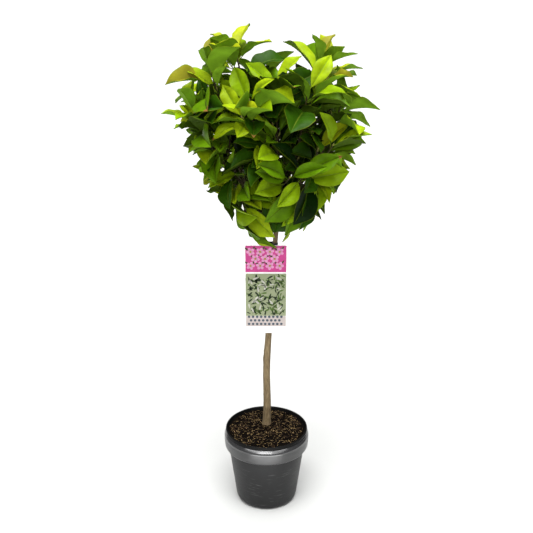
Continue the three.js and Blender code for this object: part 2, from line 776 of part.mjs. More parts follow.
const plant = new THREE.Group();
plant.add(piece("trunk", trunk(), BARK));
const fatTrunk = toSolid(trunk(GAP));
for (const shoot of grownShoots()) {
  plant.add(piece(`bough_${shoot.name}`, bough(shoot, fatTrunk), TWIG_BARK));
  plant.add(piece(`foliage_${shoot.name}`, foliage(shoot), LEAF));
}
magnolia.add(plant);

const tag = new THREE.Group();
tag.add(piece("tag_card", tagCard(), TAG_WHITE));
tag.add(piece("tag_strap", tagStrap(), STRAP_BLACK));
magnolia.add(tag);

export default magnolia;
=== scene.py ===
"""Dresses a potted standard magnolia: its planter, soil, bark, leaves and tag, on a pale studio floor.

Metres, +Z up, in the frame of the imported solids. The front faces -Y.
"""

import math

import bpy
import numpy as np
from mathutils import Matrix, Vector


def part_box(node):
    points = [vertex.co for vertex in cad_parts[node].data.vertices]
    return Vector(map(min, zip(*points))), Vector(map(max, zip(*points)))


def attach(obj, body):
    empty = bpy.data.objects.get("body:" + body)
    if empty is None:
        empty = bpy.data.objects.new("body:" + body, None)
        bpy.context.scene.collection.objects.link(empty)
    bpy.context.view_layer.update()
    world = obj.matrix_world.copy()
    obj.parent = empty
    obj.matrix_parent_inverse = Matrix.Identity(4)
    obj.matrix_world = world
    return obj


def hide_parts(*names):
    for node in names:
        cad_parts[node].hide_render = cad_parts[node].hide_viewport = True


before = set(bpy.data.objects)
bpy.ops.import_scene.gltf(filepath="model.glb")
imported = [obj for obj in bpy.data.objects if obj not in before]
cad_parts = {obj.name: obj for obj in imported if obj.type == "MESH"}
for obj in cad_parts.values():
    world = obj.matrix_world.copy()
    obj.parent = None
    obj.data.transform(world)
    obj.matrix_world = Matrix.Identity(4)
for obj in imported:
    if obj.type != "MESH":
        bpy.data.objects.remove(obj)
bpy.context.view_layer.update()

bl_info = {
    "name": "Potted Magnolia",
    "version": (1, 0, 0),
    "blender": (4, 5, 0),
    "location": "View3D > Sidebar > Magnolia",
    "description": "Builds the looks of a potted standard magnolia round its packed solids",
    "category": "Object",
}

BODY = "root"
BOUGH_NODES = sorted(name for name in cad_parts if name.startswith("bough_"))
FOLIAGE_NODES = sorted(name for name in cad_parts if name.startswith("foliage_"))
UP = np.array([0.0, 0.0, 1.0])
RIGHT = np.array([1.0, 0.0, 0.0])

# Trunk: where it stands, and how it leans, sways, tapers and flares
TRUNK_LOW = round(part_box("trunk")[0].z, 4)
TRUNK_HIGH = round(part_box("trunk")[1].z, 4)
TRUNK_FOOT = (0.0005, 0.020)
TRUNK_LEAN = 0.038
TRUNK_LEAN_POWER = 2.5
TRUNK_SWAY = 0.0013
TRUNK_SWAYS = 3
TRUNK_RADII = (0.0102, 0.0046)
TRUNK_FLARE = 0.0024
TRUNK_FLARE_HEIGHT = 0.013

# Head: its middle line, and the space that all its leaves keep to
HEAD_HEART = np.array([0.014, 0.016, 0.900])
HEAD_BOTTOM = 0.697
HEAD_WAIST = 1.015
HEAD_TOP = 1.212
HEAD_RADII = (0.066, 0.256)
HEAD_FLARE = 0.84
HEAD_ROUNDNESS = 2.5

# Shoots, lowest first: the bearing of each tip from the head's middle line in degrees from +X
# towards +Y, how far out it reaches and how high it stands
SHOOTS = {
    "left_skirt": (-174, 0.104, 0.826),
    "right_skirt": (16, 0.070, 0.846),
    "front_skirt": (-140, 0.084, 0.876),
    "back_low": (100, 0.088, 0.890),
    "left_low": (-146, 0.094, 0.904),
    "right_low": (-30, 0.116, 0.938),
    "left_middle": (176, 0.122, 0.962),
    "front_low": (-84, 0.098, 0.956),
    "back_right": (48, 0.126, 1.000),
    "far_left": (-162, 0.182, 1.022),
    "far_right": (-8, 0.156, 1.036),
    "back_left": (138, 0.134, 1.028),
    "front_left": (-116, 0.116, 1.052),
    "right_front": (-48, 0.112, 1.072),
    "back_top": (104, 0.094, 1.070),
    "upper_left": (-170, 0.138, 1.106),
    "upper_right": (18, 0.124, 1.112),
    "top_front": (-84, 0.064, 1.078),
    "top_left": (174, 0.084, 1.160),
    "top_right": (2, 0.104, 1.128),
}
FORK_LOWEST = 0.728
FORK_STEP = 0.0068
SHOOT_ELBOW_OUT = 0.66
SHOOT_ELBOW_UP = 0.3
SHOOT_FOOT_SHARE = 0.64
SHOOT_TIP_RADIUS = 0.002
BOUGH_SHARE = 0.32
BARE_FOOT = 0.05
LIMB_PROBES = 30
TRUNK_PROBES = 60

# Side twigs: the main one of each shoot, then finer ones
TWIG_ANGLE = math.radians(50)
TWIG_LIFT = 0.25
TWIG_PLACE_VARIES = 0.05
TWIG_TRIES = 8
MAIN_TWIG = {"place": 0.58, "lengths": (0.055, 0.090), "radii": (0.0021, 0.0017), "clearance": 0.009}
FINER_FROM = 6
FINER_TWIGS = [
    {"place": place, "lengths": (0.030, 0.055), "radii": (0.0015, 0.0011), "clearance": 0.003}
    for place in (0.44, 0.55, 0.68, 0.82)
]

# Leaves: the first stands at the tip, and each further one is older, longer, wider, more spread
# and more bent over
FIRST_LEAF = 0.002
FIRST_SPACING = 0.006
SPACING_GROWTH = 0.0009
OLD_LEAF = 0.060
GOLDEN_ANGLE = 137.508
LEAF_LENGTH = (0.094, 0.138)
LEAF_WIDTH = (0.36, 0.45)
LEAF_SPREAD = (36, 80)
LEAF_SPREAD_VARIES = 12
LEAF_SPREADS_BY = 0.67
LEAF_GROWN_BY = 0.45
LEAF_BEND = (30, 70)
LEAF_BEND_LEVEL = 0.75
LEAF_SAG = (0.15, 0.95)
LEAF_SAG_TOP = 0.2
LEAF_SAG_VARIES = 0.5
LEAF_OUTWARD = (0.3, 0.9)
LEAF_LIGHT_STEM = 0.4
LEAF_LIGHT_UP = (0.5, 0.6)
LEAF_LIGHT_OUT = (0.5, 0.8)
LEAF_ROLL = 38
LEAF_VARIES = 0.14
LEAF_WANDER = (15, 170)
LEAF_SHRINK = 0.28
LEAF_FIRST_RING = 0.38
LEAF_NEAR = 0.150
LIMB_NEAR = 0.095
NEAREST_FIRST = (4, 12)
PETIOLE_SHARE = 0.14
PETIOLE_RADIUS = 0.001
OUTLINE_RISE = 1.1
OUTLINE_FALL = 1.0
PROBES_ACROSS = np.array([-1, -0.67, -0.33, 0, 0.33, 0.67, 1])
STALK_PROBES = np.linspace(0.08, 0.3, 3)
BLADE_PROBES = np.linspace(0.3, 1, 12)
HEAD_SEED = 4211
SEED_STEP = 97
DRAW_FACTOR = 48271
DRAW_RANGE = 2147483647

# How far leaves keep from each other and from limbs: first as in the solids, then closer
SOLID_ROOM = {"other": 0.0095, "sister": 0.004, "limb": 0.0055, "own_limb": 0.003, "tries": 60, "size": 1}
FINER_ROOM = {"other": 0.0036, "sister": 0.003, "limb": 0.003, "own_limb": 0.002, "tries": 50, "size": 0.86}

# Blades: rows along, and columns across that leave the midrib and the margins their own strips
BLADE_ROWS = 33
BLADE_COLUMNS = np.array([-1, -0.95, -0.62, -0.3, -0.035, 0.035, 0.3, 0.62, 0.95, 1])
MARGIN_STRIPS = (0, 8)
MIDRIB_STRIP = 4
UNDER_COLUMNS = np.array([-1, -0.5, -0.04, 0, 0.04, 0.5, 1])
TIP_FROM = 0.72
TIP_PINCH = 0.3
VEIN_PAIRS = 8
VEIN_SLANT = 0.26
RIB_DEPTH = 0.0008


def lerp(low, high, share):
    return (1 - share) * low + share * high


def unit(vectors):
    return vectors / np.linalg.norm(vectors, axis=-1, keepdims=True)


def crossed(first, second):
    (a, b, c), (x, y, z) = first, second
    return np.array([b * z - c * y, c * x - a * z, a * y - b * x])


def square_to(axis, hint):
    """The unit vector nearest to a hint that is square to an axis."""
    return unit(hint - axis * hint.dot(axis))


# Settings

LEAST_COUNT = 24


def colour_property(name, description, default):
    return bpy.props.FloatVectorProperty(
        name=name, description=description, default=default, subtype="COLOR", size=3, min=0, max=1
    )


def length_property(name, description, default):
    return bpy.props.FloatProperty(
        name=name, description=description, default=default, subtype="DISTANCE", unit="LENGTH"
    )


def angle_property(name, description, degrees):
    return bpy.props.FloatProperty(
        name=name, description=description, default=math.radians(degrees), subtype="ANGLE"
    )


def power_property(name, description, default):
    return bpy.props.FloatProperty(name=name, description=description, default=default, subtype="POWER")


def number_property(name, description, default):
    return bpy.props.FloatProperty(name=name, description=description, default=default)


def count_property(name, description, default):
    return bpy.props.IntProperty(name=name, description=description, default=default, min=LEAST_COUNT)


class PlanterSettings(bpy.types.PropertyGroup):
    """Sizes and colours of the planter and of the nursery pot in it."""

    grey: colour_property("Planter", "Colour of the planter's plastic", (0.0105, 0.0105, 0.011))
    # The band's lighter colour is partly a painted sheen, standing in for glare on its gloss
    band: colour_property("Band", "Colour of the planter's smoother band", (0.020, 0.020, 0.021))
    scuff: colour_property("Scuffs", "Colour of rubbed places on the planter", (0.055, 0.055, 0.055))
    black: colour_property("Nursery pot", "Colour of the nursery pot's plastic", (0.002, 0.002, 0.002))
    wall: length_property("Planter wall", "Thickness of the planter's wall", 0.0034)
    segments: count_property("Segments", "Faces round the planter", 128)


class SoilSettings(bpy.types.PropertyGroup):
    """Amounts and colours of what the potting soil is made of."""

    peat: colour_property("Peat", "Colour of the dark peat", (0.0026, 0.0018, 0.0012))
    crumb: colour_property("Crumbs", "Colour of the brown crumbs", (0.0060, 0.0038, 0.0020))
    fibre: colour_property("Fibres", "Colour of the straw fibres", (0.53, 0.365, 0.17))
    chip: colour_property("Chips", "Colour of the bark chips", (0.024, 0.013, 0.006))
    crumbs: count_property("Crumb count", "How many crumbs lie on top", 2600)
    fibres: count_property("Fibre count", "How many fibres lie on top", 640)
    chips: count_property("Chip count", "How many chips lie on top", 120)


class WoodSettings(bpy.types.PropertyGroup):
    """Relief and colours of the bark."""

    light: colour_property("Trunk, light", "Colour of the bark's ridges", (0.240, 0.180, 0.097))
    dark: colour_property("Trunk, dark", "Colour of the bark's furrows", (0.062, 0.039, 0.018))
    shoot: colour_property("Shoots", "Colour of the young shoots' bark", (0.060, 0.048, 0.016))
    bough: colour_property("Boughs", "Colour of the boughs' bark", (0.085, 0.058, 0.032))
    ridge: length_property("Ridges", "Depth of the bark's furrows", 0.00035)
    scar: length_property("Scars", "How far a healed side shoot stands out", 0.0011)


class LeafSettings(bpy.types.PropertyGroup):
    """Form and colours of the leaves."""

    # These colours are dealt out partly by age and partly as painted light and shade: deep and dark mostly
    # to leaves deep inside the head, bright and yellow to high and outer leaves
    deep: colour_property("Deep", "Colour of the oldest inner leaves", (0.0024, 0.0110, 0.0004))
    dark: colour_property("Dark", "Colour of old leaves", (0.0150, 0.047, 0.0010))
    middle: colour_property("Middle", "Colour of grown leaves", (0.068, 0.144, 0.0016))
    fresh: colour_property("Fresh", "Colour of newly grown leaves", (0.148, 0.242, 0.0020))
    bright: colour_property("Bright", "Colour of young leaves", (0.205, 0.288, 0.0036))
    yellow: colour_property("Yellow", "Colour of the youngest leaves", (0.258, 0.302, 0.0060))
    bronze: colour_property("Bronze", "Colour of a few reddish young leaves", (0.160, 0.155, 0.0085))
    underside: colour_property("Underside", "Colour of the leaves' undersides", (0.066, 0.124, 0.0064))
    # The margins' pale colour is mostly a painted edge highlight
    margin: colour_property("Margin", "Colour of the leaves' thin edges", (0.150, 0.215, 0.0080))
    midrib: colour_property("Midrib", "Colour of midribs and stalks", (0.130, 0.200, 0.0110))
    withered: colour_property("Withered tip", "Colour of the few dry leaf tips", (0.16, 0.075, 0.02))
    bud: colour_property("Bud", "Colour of the buds at the tips", (0.230, 0.230, 0.060))
    thickness: length_property("Thickness", "Thickness of a blade", 0.0006)
    quilting: length_property("Quilting", "How far a blade swells between its side veins", 0.0016)
    ripple: length_property("Ripple", "How far a blade's edge ripples", 0.0030)


class TagSettings(bpy.types.PropertyGroup):
    """Colours of the tag and of its plain printed ornament."""

    card: colour_property("Card", "Colour of the tag's card", (0.80, 0.80, 0.79))
    strap: colour_property("Strap", "Colour of the strap", (0.006, 0.006, 0.006))
    rose: colour_property("Rose", "Ground of the upper panel", (0.46, 0.046, 0.205))
    petal: colour_property("Petal", "Colour of the printed blossoms", (0.60, 0.25, 0.43))
    eye: colour_property("Eye", "Colour of the blossoms' middles", (0.30, 0.22, 0.02))
    shade: colour_property("Shade", "Colour of the dark printed leaves", (0.035, 0.042, 0.008))
    sage: colour_property("Sage", "Ground of the lower panel", (0.235, 0.265, 0.155))
    sprig: colour_property("Dark leaves", "Colour of the dark printed leaves below", (0.013, 0.024, 0.008))
    lime: colour_property("Light leaves", "Colour of the light printed leaves below", (0.060, 0.110, 0.018))
    pale: colour_property("Pale leaves", "Colour of the palest printed leaves below", (0.40, 0.40, 0.34))
    blue: colour_property("Slate", "Colour of the printed border", (0.050, 0.066, 0.092))
    blush: colour_property("Blush", "Colour of the lower panel's foot", (0.42, 0.37, 0.35))


class StageSettings(bpy.types.PropertyGroup):
    """Floor, light and camera."""

    floor: colour_property("Floor", "Colour of the floor", (0.415, 0.418, 0.411))
    sky: number_property("Sky", "Strength of the even light from all round", 0.11)
    backdrop: number_property("Backdrop", "How bright the backdrop looks", 1.0)
    sun: number_property("Sun", "Strength of the main light", 6.9)
    back_sun: number_property("Back light", "Strength of the light from behind", 2.2)
    sun_width: angle_property("Sun width", "How wide the main light and the light from behind are", 40)
    sun_height: angle_property("Sun height", "How high these two lights stand", 76)
    sun_turn: angle_property("Sun turn", "How far left of the front the main light stands", 3)
    back_turn: angle_property("Back light turn", "How far from straight behind the back light stands", 4)
    softbox: power_property("Softbox", "Power that the three softboxes have shares of", 14)
    softbox_width: length_property("Softbox width", "Width of each softbox", 1.34)
    softbox_height: length_property("Softbox height", "Height of each softbox", 0.24)
    reflector: power_property("Reflector", "Power of the bright card before the planter", 1.8)
    camera_back: length_property("Camera distance", "How far before the planter the camera stands", 1.829)
    camera_height: length_property("Camera height", "How high the camera stands", 1.300)
    camera_tilt: angle_property("Camera tilt", "How far the camera looks down", 19.654)
    camera_lens: number_property("Lens", "Focal length in millimetres on a 36 mm sensor", 54.04)


SETTINGS = {
    "magnolia_planter": PlanterSettings,
    "magnolia_soil": SoilSettings,
    "magnolia_wood": WoodSettings,
    "magnolia_leaf": LeafSettings,
    "magnolia_tag": TagSettings,
    "magnolia_stage": StageSettings,
}


# Finishes

# A Mix node's colour sockets, which have no names of their own
MIX_FIRST = 6
MIX_SECOND = 7
MIX_RESULT = 2


class Wire:
    """An output socket. Arithmetic with it adds Math nodes to its material."""

    def __init__(self, finish, socket):
        self.finish = finish
        self.socket = socket

    def _math(self, operation, first, second):
        return self.finish.node("ShaderNodeMath", {"operation": operation}, {0: first, 1: second})

    def __add__(self, other):
        return self._math("ADD", self, other)

    def __radd__(self, other):
        return self._math("ADD", other, self)

    def __sub__(self, other):
        return self._math("SUBTRACT", self, other)

    def __rsub__(self, other):
        return self._math("SUBTRACT", other, self)

    def __mul__(self, other):
        return self._math("MULTIPLY", self, other)

    def __rmul__(self, other):
        return self._math("MULTIPLY", other, self)


class Nodes:
    """The nodes of a material or of the world."""

    def __init__(self, tree):
        self.tree = tree

    def plug(self, socket, value):
        if isinstance(value, Wire):
            self.tree.links.new(value.socket, socket)
        else:
            socket.default_value = value

    def node(self, kind, settings, inputs, output=0):
        """One node: its type, its settings, then the values or links of its sockets."""
        made = self.tree.nodes.new(kind)
        for key, value in settings.items():
            setattr(made, key, value)
        for key, value in inputs.items():
            self.plug(made.inputs[key], value)
        return Wire(self, made.outputs[output])


class Finish(Nodes):
    """A material with one principled shader, and the nodes that vary it over a surface."""

    def __init__(self, name, **constants):
        self.material = bpy.data.materials.new(name)
        self.material.use_nodes = True
        super().__init__(self.material.node_tree)
        self.shader = self.tree.nodes["Principled BSDF"]
        for socket, value in constants.items():
            self.set(socket.replace("_", " "), value)

    def set(self, socket, value):
        self.plug(self.shader.inputs[socket], value)

    def noise(self, scale, detail=2.0, stretch=(1, 1, 1)):
        """Noise between 0 and 1 through space, finer along an axis by its stretch."""
        place = self.node("ShaderNodeTexCoord", {}, {}, "Object")
        spread = self.node("ShaderNodeVectorMath", {"operation": "MULTIPLY"}, {0: place, 1: stretch})
        return self.node("ShaderNodeTexNoise", {}, {"Vector": spread, "Scale": scale, "Detail": detail})

    def patches(self, scale, detail, low, high, stretch=(1, 1, 1)):
        """Noise drawn out into patches: 0 up to one level of it, and 1 from another."""
        value = self.noise(scale, detail, stretch)
        return self.node("ShaderNodeMapRange", {}, {"Value": value, "From Min": low, "From Max": high})

    def mix(self, first, second, share):
        first, second = (colour if isinstance(colour, Wire) else (*colour, 1) for colour in (first, second))
        inputs = {0: share, MIX_FIRST: first, MIX_SECOND: second}
        return self.node("ShaderNodeMix", {"data_type": "RGBA"}, inputs, MIX_RESULT)

    def relief(self, height, depth):
        bump = {"Strength": 1.0, "Distance": depth, "Height": height}
        self.set("Normal", self.node("ShaderNodeBump", {}, bump))


def shade(colour, factor):
    """A colour made lighter or darker."""
    return tuple(min(1, channel * factor) for channel in colour)


def leaf_finish(name, colour, roughness):
    """A leaf's skin: a colour that drifts slowly and mottles finely, with a soft gloss."""
    finish = Finish(name, Specular_IOR_Level=0.045)
    drift = finish.patches(scale=34, detail=2, low=0.3, high=0.7)
    mottle = finish.patches(scale=420, detail=3, low=0.3, high=0.7)
    broad = finish.mix(shade(colour, 0.72), shade(colour, 1.24), drift)
    finish.set("Base Color", finish.mix(broad, shade(colour, 0.9), mottle * 0.35))
    finish.set("Roughness", roughness - 0.06 + mottle * 0.12)
    finish.relief(mottle, depth=0.00006)
    return finish.material


def bark_finish(name, light, dark, speckle):
    """Bark: ridges that run along the limb, with darker furrows and pale breathing pores."""
    finish = Finish(name, Specular_IOR_Level=0.25)
    streaks = finish.patches(scale=620, detail=4, low=0.32, high=0.68, stretch=(1, 1, 0.12))
    weathered = finish.patches(scale=55, detail=3, low=0.35, high=0.65, stretch=(1, 1, 0.4))
    pores = finish.patches(scale=900, detail=1, low=0.66, high=0.72)
    grain = finish.mix(dark, light, streaks * 0.75 + weathered * 0.25)
    finish.set("Base Color", finish.mix(grain, speckle, pores * 0.55))
    finish.set("Roughness", 0.72 + streaks * 0.2)
    finish.relief(streaks + pores * 0.5, depth=0.0004)
    return finish.material


def plastic_finish(name, colour, worn, roughness, gloss, wear, grain_depth=0.00008):
    """Moulded plastic: a fine grain, faint level scuffs and a little dust."""
    finish = Finish(name, Specular_IOR_Level=gloss)
    grain = finish.noise(scale=2400)
    scuffs = finish.patches(scale=95, detail=4, low=0.60, high=0.74, stretch=(0.35, 0.35, 2.6))
    clouds = finish.patches(scale=14, detail=3, low=0.35, high=0.7)
    tone = finish.mix(shade(colour, 0.92), shade(colour, 1.1), clouds)
    finish.set("Base Color", finish.mix(tone, worn, scuffs * wear))
    finish.set("Roughness", roughness + clouds * 0.06 + scuffs * 0.1)
    finish.relief(grain, grain_depth)
    return finish.material


def earth_finish(name, colour, roughness):
    """Peat and crumbs: dark and dull, with finely broken colour."""
    finish = Finish(name, Specular_IOR_Level=0.03)
    lumps = finish.patches(scale=260, detail=4, low=0.35, high=0.7)
    specks = finish.patches(scale=1300, detail=2, low=0.5, high=0.7)
    broken = finish.mix(shade(colour, 0.55), shade(colour, 1.4), lumps)
    finish.set("Base Color", finish.mix(broken, shade(colour, 2.2), specks * 0.4))
    finish.set("Roughness", roughness + specks * 0.15)
    finish.relief(lumps + specks * 0.4, depth=0.0009)
    return finish.material


def straw_finish(name, colour):
    """Dry fibres and chips, each place a little lighter or darker."""
    finish = Finish(name, Specular_IOR_Level=0.1)
    tone = finish.patches(scale=150, detail=2, low=0.3, high=0.7)
    grain = finish.noise(scale=1800)
    finish.set("Base Color", finish.mix(shade(colour, 0.22), shade(colour, 1.3), tone))
    finish.set("Roughness", 0.75 + grain * 0.15)
    finish.relief(grain, depth=0.0002)
    return finish.material


def print_finish(name, colour):
    """Glossy printed card: a flat ink with a trace of grain under a clear film."""
    finish = Finish(name, Specular_IOR_Level=0.25)
    tooth = finish.noise(scale=1500)
    cloud = finish.patches(scale=70, detail=2, low=0.3, high=0.7)
    finish.set("Base Color", finish.mix(shade(colour, 0.93), shade(colour, 1.06), cloud))
    finish.set("Roughness", 0.3 + tooth * 0.1)
    finish.relief(tooth, depth=0.00002)
    return finish.material


# Meshes

def placed(name, data):
    """A new object in the scene."""
    made = bpy.data.objects.new(name, data)
    bpy.context.scene.collection.objects.link(made)
    return made


def spaced_turns(count):
    """Angles evenly spaced round a circle."""
    return np.arange(count) / count * 2 * math.pi


def grid_faces(rows, columns, ring=False):
    """Quads over points in rows, whose columns close into a ring if asked."""
    across = columns if ring else columns - 1
    row, column = np.divmod(np.arange((rows - 1) * across), across)
    after = (column + 1) % columns
    low, high = row * columns, (row + 1) * columns
    return np.stack([low + column, low + after, high + after, high + column], axis=1)


def piece(name, parts, material, replaced=()):
    """One smooth object from (points, faces) parts, which rides with the plant."""
    points, corners, sizes = [], [], []
    start = 0
    for part, faces in parts:
        points.append(np.reshape(part, (-1, 3)))
        corners.append((faces + start).ravel())
        sizes.append(np.full(len(faces), faces.shape[1]))
        start += len(points[-1])
    sizes = np.concatenate(sizes)
    starts = np.cumsum(sizes) - sizes
    used, corners = np.unique(np.concatenate(corners), return_inverse=True)
    mesh = bpy.data.meshes.new(name)
    mesh.vertices.add(len(used))
    mesh.vertices.foreach_set("co", np.concatenate(points)[used].astype(np.float32).ravel())
    mesh.loops.add(len(corners))
    mesh.loops.foreach_set("vertex_index", corners.astype(np.int32))
    mesh.polygons.add(len(sizes))
    mesh.polygons.foreach_set("loop_start", starts.astype(np.int32))
    mesh.polygons.foreach_set("use_smooth", np.ones(len(sizes), bool))
    mesh.update(calc_edges=True)
    mesh.validate()
    mesh.materials.append(material)
    made = placed(name, mesh)
    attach(made, BODY)
    if replaced:
        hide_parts(*replaced)
    return made


def tube(centres, directions, hint, radii, sides):
    """Points and faces of a limb. Radii are one for each centre, or one for each centre and side."""
    across = unit(hint - directions * (directions @ hint)[:, None])
    over = np.cross(directions, across)
    angles = spaced_turns(sides)
    spokes = across[:, None] * np.cos(angles)[:, None] + over[:, None] * np.sin(angles)[:, None]
    reach = np.reshape(radii, (len(centres), -1, 1))
    return centres[:, None] + spokes * reach, grid_faces(len(centres), sides, True)


def filleted(corners, steps=6):
    """A profile through corners of (radius, height, fillet), each rounded over its fillet's length."""
    places = np.array([corner[:2] for corner in corners], float)
    profile = [places[0]]
    for before, (*_, fillet), at, after in zip(places, corners[1:], places[1:], places[2:]):
        enter = at + unit(before - at) * fillet
        leave = at + unit(after - at) * fillet
        for share in np.linspace(0, 1, steps):
            profile.append(lerp(lerp(enter, at, share), lerp(at, leave, share), share))
    return np.array([*profile, places[-1]])


def turned(profile, segments):
    """Points and faces of a body turned about the vertical axis."""
    angles = spaced_turns(segments)
    radius, height = profile[:, :1], profile[:, 1:]
    heights = np.broadcast_to(height, (len(profile), segments))
    points = np.stack([radius * np.cos(angles), radius * np.sin(angles), heights], axis=-1)
    return points, grid_faces(len(profile), segments, True)


# Growth

class Draw:
    """The same run of numbers between 0 and 1 for the same seed."""

    def __init__(self, seed):
        self.state = seed

    def __call__(self):
        self.state = self.state * DRAW_FACTOR % DRAW_RANGE
        return self.state / DRAW_RANGE

    def swing(self, size):
        return (self() * 2 - 1) * size


class Arc:
    """A curved axis through three points."""

    def __init__(self, start, elbow, tip):
        self.start = start
        self.elbow = elbow
        self.tip = tip

    def points(self, shares):
        share = np.asarray(shares, float)[..., None]
        rest = 1 - share
        return rest**2 * self.start + 2 * rest * share * self.elbow + share**2 * self.tip

    def directions(self, shares):
        share = np.asarray(shares, float)[..., None]
        return unit((1 - share) * (self.elbow - self.start) + share * (self.tip - self.elbow))


class Branch:
    """A shoot or a twig: its axis, its radii at foot and tip, and where its leaves stand."""

    def __init__(self, axis, length, radii, across, bare_foot, draw, shoot):
        self.axis = axis
        self.length = length
        self.radii = radii
        self.across = across
        self.draw = draw
        self.shoot = shoot
        self.bare_places = dict(enumerate(leaf_places(length * (1 - bare_foot))))

    def probes(self):
        shares = np.linspace(0, 1, LIMB_PROBES + 1)
        return self.axis.points(shares), lerp(*self.radii, shares)


def leaf_places(leafy):
    """How far back from a branch's tip its leaves stand, over its leafy length."""
    places = []
    place, spacing = FIRST_LEAF, FIRST_SPACING
    while place < leafy:
        places.append(place)
        spacing += SPACING_GROWTH
        place += spacing
    return places


def trunk_axis(heights):
    """The trunk's middle at heights. It leans more the higher it goes, and sways a little."""
    share = (np.asarray(heights, float) - TRUNK_LOW) / (TRUNK_HIGH - TRUNK_LOW)
    lean = TRUNK_LEAN * np.maximum(share, 0) ** TRUNK_LEAN_POWER
    sway = TRUNK_SWAY * np.sin(2 * math.pi * TRUNK_SWAYS * share)
    return np.stack([TRUNK_FOOT[0] + lean + sway, np.full_like(share, TRUNK_FOOT[1]), heights], axis=-1)


def trunk_radius(heights):
    above = np.asarray(heights, float) - TRUNK_LOW
    flare = TRUNK_FLARE * np.exp(-above / TRUNK_FLARE_HEIGHT)
    return lerp(*TRUNK_RADII, above / (TRUNK_HIGH - TRUNK_LOW)) + flare


def head_radius(heights):
    """How far from the head's middle line the leaves may reach at heights."""
    low = np.clip((heights - HEAD_BOTTOM) / (HEAD_WAIST - HEAD_BOTTOM), 0, 1)
    high = np.clip((heights - HEAD_WAIST) / (HEAD_TOP - HEAD_WAIST), 0, 1)
    radius = lerp(*HEAD_RADII, low**HEAD_FLARE) * (1 - high**HEAD_ROUNDNESS) ** (1 / HEAD_ROUNDNESS)
    return np.where((heights < HEAD_BOTTOM) | (heights > HEAD_TOP), 0, radius)


def inside_head(points):
    out = np.hypot(points[:, 0] - HEAD_HEART[0], points[:, 1] - HEAD_HEART[1])
    return bool(np.all(out < head_radius(points[:, 2])))


def squared_gaps(points, others):
    """The squared distance of each point from each other point."""
    own, far = np.einsum("ij,ij->i", points, points), np.einsum("ij,ij->i", others, others)
    return own[:, None] + far - 2 * points @ others.T


class Limbs:
    """Points along all limbs, each with its radius and the shoot that it belongs to."""

    def __init__(self):
        self.points = np.empty((0, 3))
        self.radii = np.empty(0)
        self.shoots = np.empty(0, int)

    def add(self, points, radii, shoot):
        self.points = np.concatenate([self.points, points])
        self.radii = np.concatenate([self.radii, radii])
        self.shoots = np.concatenate([self.shoots, np.full(len(radii), shoot)])

    def clear_of(self, points, clearance, chosen):
        """Whether points keep a clearance from the chosen limbs."""
        least = self.radii[chosen] + clearance
        return bool(np.all(squared_gaps(points, self.points[chosen]) > least**2))


class Crowd:
    """The leaves so far, with their points in arrays that a new leaf is tried against."""

    def __init__(self):
        self.leaves = []
        self.middles = np.empty((0, 3))
        self.shoots = np.empty(0, int)
        self.points = np.empty((0, PROBES_ACROSS.size * (STALK_PROBES.size + BLADE_PROBES.size), 3))

    def add(self, leaf):
        self.leaves.append(leaf)
        self.middles = np.concatenate([self.middles, leaf.middle[None]])
        self.shoots = np.append(self.shoots, leaf.shoot)
        self.points = np.concatenate([self.points, leaf.whole[None]])

    def clear_of(self, leaf, room):
        """Whether a leaf keeps clear of all others. The nearest are tried first."""
        distance = np.linalg.norm(self.middles - leaf.middle, axis=1)
        nearest = np.argsort(distance)[: np.count_nonzero(distance < LEAF_NEAR)]
        stalk = len(leaf.stalk)
        for group in np.split(nearest, NEAREST_FIRST):
            sister = self.shoots[group] == leaf.shoot
            sisters = self.points[group[sister], stalk:].reshape(-1, 3)
            others = self.points[group[~sister]].reshape(-1, 3)
            if np.any(squared_gaps(leaf.blade, sisters) < room["sister"] ** 2):
                return False
            if np.any(squared_gaps(leaf.whole, others) < room["other"] ** 2):
                return False
        return True


def planned_shoot(order, bearing, reach, height):
    """A shoot's axis, from the trunk's middle at its fork out to its tip, and its frame."""
    turn = math.radians(bearing)
    out = np.array([math.cos(turn), math.sin(turn), 0])
    fork = FORK_LOWEST + FORK_STEP * order
    start = trunk_axis(fork)
    tip = np.array([*HEAD_HEART[:2], height]) + out * reach
    elbow = start + (tip - start) * SHOOT_ELBOW_OUT
    elbow[2] = lerp(start[2], tip[2], SHOOT_ELBOW_UP)
    return Branch(
        Arc(start, elbow, tip),
        float(np.linalg.norm(tip - start)),
        (SHOOT_FOOT_SHARE * float(trunk_radius(fork)), SHOOT_TIP_RADIUS),
        crossed(UP, out),
        BOUGH_SHARE + BARE_FOOT,
        Draw(HEAD_SEED + SEED_STEP * order),
        order,
    )


def side_twig(shoot, limbs, place, lengths, radii, clearance):
    """A twig on a shoot, or None where there is no room for it."""
    draw = shoot.draw
    for _ in range(TWIG_TRIES):
        share = place + draw.swing(TWIG_PLACE_VARIES)
        turn = 2 * math.pi * draw()
        length = lerp(*lengths, draw())
        along = shoot.axis.directions(share)
        across = square_to(along, shoot.across)
        aim = across * math.cos(turn) + crossed(along, across) * math.sin(turn)
        heading = along * math.cos(TWIG_ANGLE) + aim * math.sin(TWIG_ANGLE)
        start = shoot.axis.points(share)
        axis = Arc(start, start + heading * length / 2, start + heading * length + UP * TWIG_LIFT * length)
        side = square_to(heading, crossed(UP, heading))
        twig = Branch(axis, length, radii, side, 2 * BARE_FOOT, draw, shoot.shoot)
        points, _ = twig.probes()
        everything = np.ones(len(limbs.shoots), bool)
        if not inside_head(points):
            continue
        if not limbs.clear_of(points[LIMB_PROBES // 2:], clearance, everything):
            continue
        if limbs.clear_of(points, clearance, limbs.shoots != shoot.shoot):
            return twig
    return None


def outline(shares):
    """Half the blade's width at shares of the leaf's length, as a share of its widest."""
    blade = np.clip((shares - PETIOLE_SHARE) / (1 - PETIOLE_SHARE), 0, 1)
    widest = OUTLINE_RISE / (OUTLINE_RISE + OUTLINE_FALL)
    peak = widest**OUTLINE_RISE * (1 - widest) ** OUTLINE_FALL
    return blade**OUTLINE_RISE * (1 - blade) ** OUTLINE_FALL / peak


